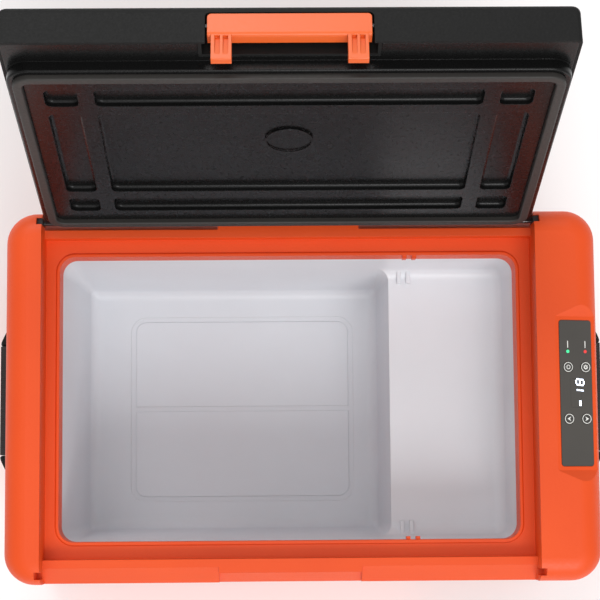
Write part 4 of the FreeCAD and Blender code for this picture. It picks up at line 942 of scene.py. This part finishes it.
QUARTER = math.pi / 2
ALONG_X = (0.0, QUARTER, 0.0)


@dataclass(frozen=True)
class HandleTrim:
    """Grip ribs and bracket screws on both end handles."""

    bail_half: float = 50.0
    pitch: float = 2.4
    rib: float = 1.1
    rib_tall: float = 0.8
    bar_deep: float = 7.6
    bar_tall: float = 9.6
    bar_top: float = 15.0
    face_sink: float = 0.42
    bracket_margin: float = 3.2
    bracket_deep: float = 11.0
    bracket_rib_tall: float = 0.9
    screw_y: float = 34.0
    screw: Colour = (2.8 * MM, 1.2 * MM, 28.0)
    socket: Colour = (1.3 * MM, 0.66 * MM, 6.0)
    socket_proud: float = 0.3

    def build(self) -> None:
        """Make the ribs and screws of each end."""
        for side, label in ((-1, "left"), (1, "right")):
            self.bail_ribs(side, label)
            self.bracket_ribs(label)
            self.screws(side, label)

    def bail_ribs(self, side: int, label: str) -> None:
        """Ribs over the top and the outer face of the hand bar.

        Args:
            side: -1 for the left end, 1 for the right.
            label: left or right.
        """
        low, high = (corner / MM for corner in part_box(f"handle_{label}"))
        outer = high.x if side > 0 else low.x
        body = f"handle_{label}_bail"
        rows = steps(-self.bail_half, self.bail_half, self.pitch)
        middle = (low.x + high.x) / 2
        top = low.z + self.bar_top
        size = (self.bar_deep * MM, self.rib * MM, self.rib_tall * MM)
        Repeat(f"handle_rib_top_{label}", Stud.BOX, size,
               grid([middle], rows, [top]), Look.BLACK_GRAIN, body, "black_grain").build()
        face = outer - side * self.face_sink
        size = (self.rib_tall * MM, self.rib * MM, self.bar_tall * MM)
        Repeat(f"handle_rib_face_{label}", Stud.BOX, size,
               grid([face], rows, [low.z + self.bar_top / 2]), Look.BLACK_GRAIN, body, "black_grain").build()

    def bracket_ribs(self, label: str) -> None:
        """Ribs across the top of the bracket.

        Args:
            label: left or right.
        """
        low, high = (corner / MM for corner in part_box(f"handle_bracket_{label}"))
        rows = steps(low.y + self.bracket_margin, high.y - self.bracket_margin, self.pitch)
        middle = (low.x + high.x) / 2
        size = (self.bracket_deep * MM, self.rib * MM, self.bracket_rib_tall * MM)
        Repeat(f"bracket_rib_{label}", Stud.BOX, size,
               grid([middle], rows, [high.z]), Look.DARK, "cabinet", "dark_plastic").build()

    def screws(self, side: int, label: str) -> None:
        """Two socket screws in the bracket's outer face.

        Args:
            side: -1 for the left end, 1 for the right.
            label: left or right.
        """
        low, high = (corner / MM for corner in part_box(f"handle_bracket_{label}"))
        face = high.x if side > 0 else low.x
        spots = grid([face], [-self.screw_y, self.screw_y], [(low.z + high.z) / 2])
        Repeat(f"bracket_screw_{label}", Stud.ROD, self.screw, spots, Look.STEEL, "cabinet", "steel",
               ALONG_X).build()
        spots = grid([face + side * self.socket_proud], [-self.screw_y, self.screw_y],
                     [(low.z + high.z) / 2])
        Repeat(f"bracket_socket_{label}", Stud.ROD, self.socket, spots, Look.DARK, "cabinet",
               "dark_plastic", ALONG_X).build()


@dataclass(frozen=True)
class TrayTrim:
    """Stiffening ribs and screws under the base tray."""

    rib: float = 1.8
    deep: float = 1.6
    overlap: float = 0.2
    edge_in_x: float = 12.0
    edge_in_y: float = 10.0
    end_screw_y: float = 70.0
    side_screw_x: float = 150.0
    screw: Colour = (3.6 * MM, 1.4 * MM, 28.0)
    socket: Colour = (1.6 * MM, 0.7 * MM, 6.0)
    socket_drop: float = 0.4

    def build(self) -> None:
        """Make the ribs and the screws."""
        low, high = (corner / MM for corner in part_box("base_tray"))
        level = low.z - self.deep / 2 + self.overlap
        sizes = (("tray_rib_long", (450.0, self.rib), [0.0], steps(-120.0, 120.0, 30.0)),
                 ("tray_rib_cross", (self.rib, 300.0), steps(-200.0, 200.0, 40.0), [0.0]))
        for name, (long, wide), xs, ys in sizes:
            Repeat(name, Stud.BOX, (long * MM, wide * MM, self.deep * MM), grid(xs, ys, [level]), Look.DARK,
                   "cabinet", "dark_plastic").build()
        edge_x = high.x - self.edge_in_x
        edge_y = high.y - self.edge_in_y
        level = low.z - 0.5
        spots = grid([-edge_x, edge_x], [-self.end_screw_y, self.end_screw_y], [level])
        spots += grid([-self.side_screw_x, 0.0, self.side_screw_x], [-edge_y, edge_y], [level])
        Repeat("tray_screws", Stud.ROD, self.screw, spots, Look.STEEL, "cabinet", "steel").build()
        lower = [(x, y, z - self.socket_drop * MM) for x, y, z in spots]
        Repeat("tray_screw_sockets", Stud.ROD, self.socket, lower, Look.DARK, "cabinet",
               "dark_plastic").build()


@dataclass(frozen=True)
class VentMesh:
    """Fine dust mesh behind each louvred grille."""

    pitch: float = 3.2
    wire: float = 0.5
    setback: float = 0.3
    side_margin: float = 5.0
    end_margin: float = 4.0

    def build(self) -> None:
        """Make the wires of the three meshes."""
        self.screen("end", 0)
        self.screen("front", 1)
        self.screen("back", 1)

    def screen(self, label: str, axis: int) -> None:
        """Upright and level wires just inside one grille; axis is 0 for X and 1 for Y.

        Args:
            label: Which grille: end, front or back.
            axis: Axis that the grille faces along, 0 for X and 1 for Y.
        """
        low, high = (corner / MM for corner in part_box(f"vent_grille_{label}"))
        inner = low[axis] if abs(low[axis]) < abs(high[axis]) else high[axis]
        depth = inner - math.copysign(self.setback, inner)
        across = 1 - axis
        side_gap = self.side_margin + 1.0
        end_gap = self.end_margin + 1.0
        spread = steps(low[across] + side_gap, high[across] - side_gap, self.pitch)
        levels = steps(low.z + end_gap, high.z - end_gap, self.pitch)
        middle = (low[across] + high[across]) / 2
        height = (high.z - low.z - 2 * self.end_margin) * MM
        width = (high[across] - low[across] - 2 * self.side_margin) * MM
        thin = self.wire * MM
        centre = (low.z + high.z) / 2
        uprights = grid([depth], spread, [centre]) if axis == 0 else grid(spread, [depth], [centre])
        levelled = grid([depth], [middle], levels) if axis == 0 else grid([middle], [depth], levels)
        bar = (thin, width, thin) if axis == 0 else (width, thin, thin)
        Repeat(f"vent_wire_up_{label}", Stud.BOX, (thin, thin, height), uprights, Look.DARK, "cabinet",
               "dark_plastic").build()
        Repeat(f"vent_wire_level_{label}", Stud.BOX, bar, levelled, Look.DARK, "cabinet",
               "dark_plastic").build()


@dataclass(frozen=True)
class BayTrim:
    """Small parts of the machinery bay: board parts, fine fins and the compressor's fittings."""

    fin_pitch: float = 2.2
    fin_thick: float = 0.24
    fin_margin: float = 3.3
    board_edge: float = 8.0
    weld: Colour = (42.7 * MM, 2.6 * MM, 96.0)
    weld_z: float = 66.0
    cover: Colour = (34.0 * MM, 12.0 * MM, 26.0 * MM)
    cover_out: float = 44.0
    cover_z: float = 62.0
    plug: Colour = (6.4 * MM, 8.0 * MM, 5.0 * MM)
    chip: Colour = (1.8 * MM, 7.0 * MM, 7.0 * MM)
    resistor: Colour = (1.0 * MM, 1.6 * MM, 2.6 * MM)

    def build(self) -> None:
        """Make every part of the bay."""
        self.board()
        self.fins()
        self.compressor()

    def board(self) -> None:
        """Chips, resistors and plugs on the face of the control board."""
        low, high = (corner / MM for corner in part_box("control_board"))
        face = high.x
        chips = grid([face + 0.7], [high.y - self.board_edge],
                     steps(low.z + self.board_edge, high.z - 18.0, 12.0))
        Repeat("board_chips", Stud.BOX, self.chip, chips, Look.BLACK_METAL, "cabinet", "black_metal",
               jitter=0.12).build()
        small = grid([face + 0.3], steps(low.y + self.board_edge, high.y - 16.0, 4.0),
                     [low.z + 3.0, high.z - 3.0])
        Repeat("board_resistors", Stud.BOX, self.resistor, small, Look.LINER, "cabinet", "white_liner",
               jitter=0.2).build()
        plugs = grid([face + 3.0], [high.y - self.board_edge, high.y - 20.0], [high.z - 6.0])
        Repeat("board_plugs", Stud.BOX, self.plug, plugs, Look.LINER, "cabinet",
               "white_liner").build()

    def fins(self) -> None:
        """Thin fins between the condenser's heavier ones."""
        low, high = (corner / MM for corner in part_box("condenser_fins"))
        size = ((high.x - low.x - 0.8) * MM, self.fin_thick * MM,
                (high.z - low.z - 3.2) * MM)
        rows = steps(low.y + self.fin_margin, high.y - self.fin_margin, self.fin_pitch)
        spots = grid([(low.x + high.x) / 2], rows, [(low.z + high.z) / 2])
        Repeat("condenser_fine_fins", Stud.BOX, size, spots, Look.ALUMINIUM, "cabinet",
               "aluminium").build()

    def compressor(self) -> None:
        """Weld band round the compressor and the cover over its terminals."""
        low, high = (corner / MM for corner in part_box("compressor_body"))
        middle_x = (low.x + high.x) / 2
        middle_y = (low.y + high.y) / 2
        spots = grid([middle_x], [middle_y], [self.weld_z])
        Repeat("compressor_weld", Stud.ROD, self.weld, spots, Look.BLACK_METAL, "cabinet",
               "black_metal").build()
        spots = grid([middle_x], [middle_y + self.cover_out], [self.cover_z])
        Repeat("compressor_cover", Stud.BOX, self.cover, spots, Look.DARK, "cabinet",
               "dark_plastic").build()


@dataclass(frozen=True)
class ShellTrim:
    """A dark strip of painted shadow in the seam between frame and casing, and the ring round the lid's
    port.
    """

    corner: float = 30.0
    seam_z: float = 232.0
    seam_half: float = 0.25
    proud: float = 0.05
    sink: float = 0.5
    arc_steps: int = 12

    def build(self, nodes: dict[str, bpy.types.Object]) -> None:
        """Make the seam's painted shadow strip and the port's ring.

        Args:
            nodes: The frame's node objects by name.
        """
        self.seam()
        self.port_ring(nodes)

    def loop(self, grow: float) -> list[tuple[float, float]]:
        """Outline of the cabinet in plan, grown outward, in metres.

        Args:
            grow: Growth in millimetres.

        Returns:
            The outline, corner by corner, in metres.
        """
        low, high = (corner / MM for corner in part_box("outer_casing"))
        radius = self.corner + grow
        points = []
        for index, (sx, sy) in enumerate(((1, 1), (-1, 1), (-1, -1), (1, -1))):
            centre_x = sx * (high.x - self.corner)
            centre_y = sy * (high.y - self.corner)
            for step in range(self.arc_steps + 1):
                angle = QUARTER * (index + step / self.arc_steps)
                points.append(((centre_x + radius * math.cos(angle)) * MM,
                               (centre_y + radius * math.sin(angle)) * MM))
        return points

    def seam(self) -> None:
        """A thin dark band of painted shadow where the frame meets the casing, standing in for the shade
        inside their gap.
        """
        low = (self.seam_z - self.seam_half) * MM
        high = (self.seam_z + self.seam_half) * MM
        mesh = bmesh.new()
        rows = []
        for (ix, iy), (ox, oy) in zip(self.loop(-self.sink), self.loop(self.proud)):
            spots = ((ix, iy, low), (ox, oy, low), (ox, oy, high), (ix, iy, high))
            rows.append([mesh.verts.new(spot) for spot in spots])
        count = len(rows)
        for i in range(count):
            first, second = rows[i], rows[(i + 1) % count]
            for j in range(4):
                k = (j + 1) % 4
                mesh.faces.new((first[j], first[k], second[k], second[j]))
        # painted shadow: a dark strip in place of the shade inside the gap between frame and casing
        piece("seam_shadow_strip", mesh, Look.DARK, "cabinet")

    @staticmethod
    def port_ring(nodes: dict[str, bpy.types.Object]) -> None:
        """A low moulded ring round the cap in the lid's underside.

        Args:
            nodes: The frame's node objects by name.
        """
        low, high = (Vector(corner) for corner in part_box("foam_port_cap"))
        turn = math.atan2(high.y - low.y, high.z - low.z)
        normal = Vector((0.0, -math.cos(turn), math.sin(turn)))
        sideways = Vector((1.0, 0.0, 0.0))
        plane = Facet((low + high) / 2, sideways.cross(normal), sideways, normal)
        cap = nodes["foam_port_cap"].data.vertices
        lift = max((vertex.co - plane.origin).dot(normal) for vertex in cap)
        mesh = bmesh.new()
        plane.ring(mesh, (0.0, 0.0), 20.0 * MM, 21.6 * MM, lift - 0.4 * MM, lift + 0.5 * MM)
        piece("port_ring", mesh, Look.BLACK_SMOOTH, "lid")


# ------------------------------------------------------------------ studio

@dataclass
class Studio:
    """Pale floor, soft lights and the camera."""

    floor_size: float = 14.0
    floor_drop: float = 0.0004
    surround_strength: float = 0.6
    camera_place: Vector = field(default_factory=lambda: Vector((-0.0261, -0.1042, 2.1043)))
    tilt: float = math.radians(6.27)
    pan: float = math.radians(0.78)
    roll: float = math.radians(-0.46)
    lens: float = 110.7
    sensor: float = 36.0

    def build(self) -> None:
        """Make the floor, the lights, the surround and the camera."""
        self.floor()
        self.surround()
        self.lights()
        self.camera()

    def floor(self) -> None:
        """Lay the floor just below the feet."""
        mesh = bmesh.new()
        half = self.floor_size / 2
        corners = ((-half, -half), (half, -half), (half, half), (-half, half))
        mesh.faces.new([mesh.verts.new((x, y, -self.floor_drop)) for x, y in corners])
        data = bpy.data.meshes.new("studio_floor")
        mesh.to_mesh(data)
        mesh.free()
        shade = Shader("pale_floor")
        shade.join(shade.blend(shade.noise(3.0), (0.93, 0.93, 0.93), (0.96, 0.96, 0.96)),
                   shade.surface.inputs["Base Color"])
        shade.set("Roughness", 0.9)
        shade.set("Specular IOR Level", 0.1)
        data.materials.append(shade.material)
        floor = bpy.data.objects.new("studio_floor", data)
        bpy.context.scene.collection.objects.link(floor)

    def surround(self) -> None:
        """Even white surround light."""
        world = bpy.data.worlds.new("surround")
        world.use_nodes = True
        back = world.node_tree.nodes["Background"]
        back.inputs["Color"].default_value = (1.0, 1.0, 1.0, 1.0)
        back.inputs["Strength"].default_value = self.surround_strength
        bpy.context.scene.world = world
        bpy.context.scene.view_settings.view_transform = "Standard"

    def lights(self) -> None:
        """Soft lights in front, above and behind."""
        setups = (("key", (0.7, -2.4, 2.9), 1.7, 66.0), ("top", (-0.2, -0.3, 3.6), 2.0, 11.0),
                  ("back", (-0.7, 2.7, 2.9), 1.8, 48.0))
        for name, place, size, power in setups:
            data = bpy.data.lights.new(name, "AREA")
            data.size = size
            data.energy = power
            light = bpy.data.objects.new(name, data)
            light.location = place
            aim = Vector((0.0, 0.0, 0.25)) - Vector(place)
            light.rotation_euler = aim.to_track_quat("-Z", "Y").to_euler()
            bpy.context.scene.collection.objects.link(light)

    def camera(self) -> None:
        """Look almost straight down, a little from the front."""
        forward = Vector((math.sin(self.pan), math.sin(self.tilt), -math.cos(self.tilt))).normalized()
        upward = Vector((0.0, 1.0, 0.0))
        upward = (upward - forward * upward.dot(forward)).normalized()
        right = forward.cross(upward)
        side = right * math.cos(self.roll) + upward * math.sin(self.roll)
        top = upward * math.cos(self.roll) - right * math.sin(self.roll)
        turn = Matrix((side, top, -forward)).transposed()
        data = bpy.data.cameras.new("view")
        data.lens = self.lens
        data.sensor_width = self.sensor
        data.clip_end = 60.0
        camera = bpy.data.objects.new("view", data)
        camera.matrix_world = Matrix.Translation(self.camera_place) @ turn.to_4x4()
        bpy.context.scene.collection.objects.link(camera)
        bpy.context.scene.camera = camera


def main() -> None:
    """Load the frame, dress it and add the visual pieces."""
    logging.basicConfig(level=logging.INFO, format="%(name)s: %(message)s")
    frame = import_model()
    dress_nodes(frame["nodes"])
    ControlPanel(frame).build()
    HandleTrim().build()
    TrayTrim().build()
    VentMesh().build()
    BayTrim().build()
    ShellTrim().build(frame["nodes"])
    Studio().build()


if __name__ == "__main__":
    main()
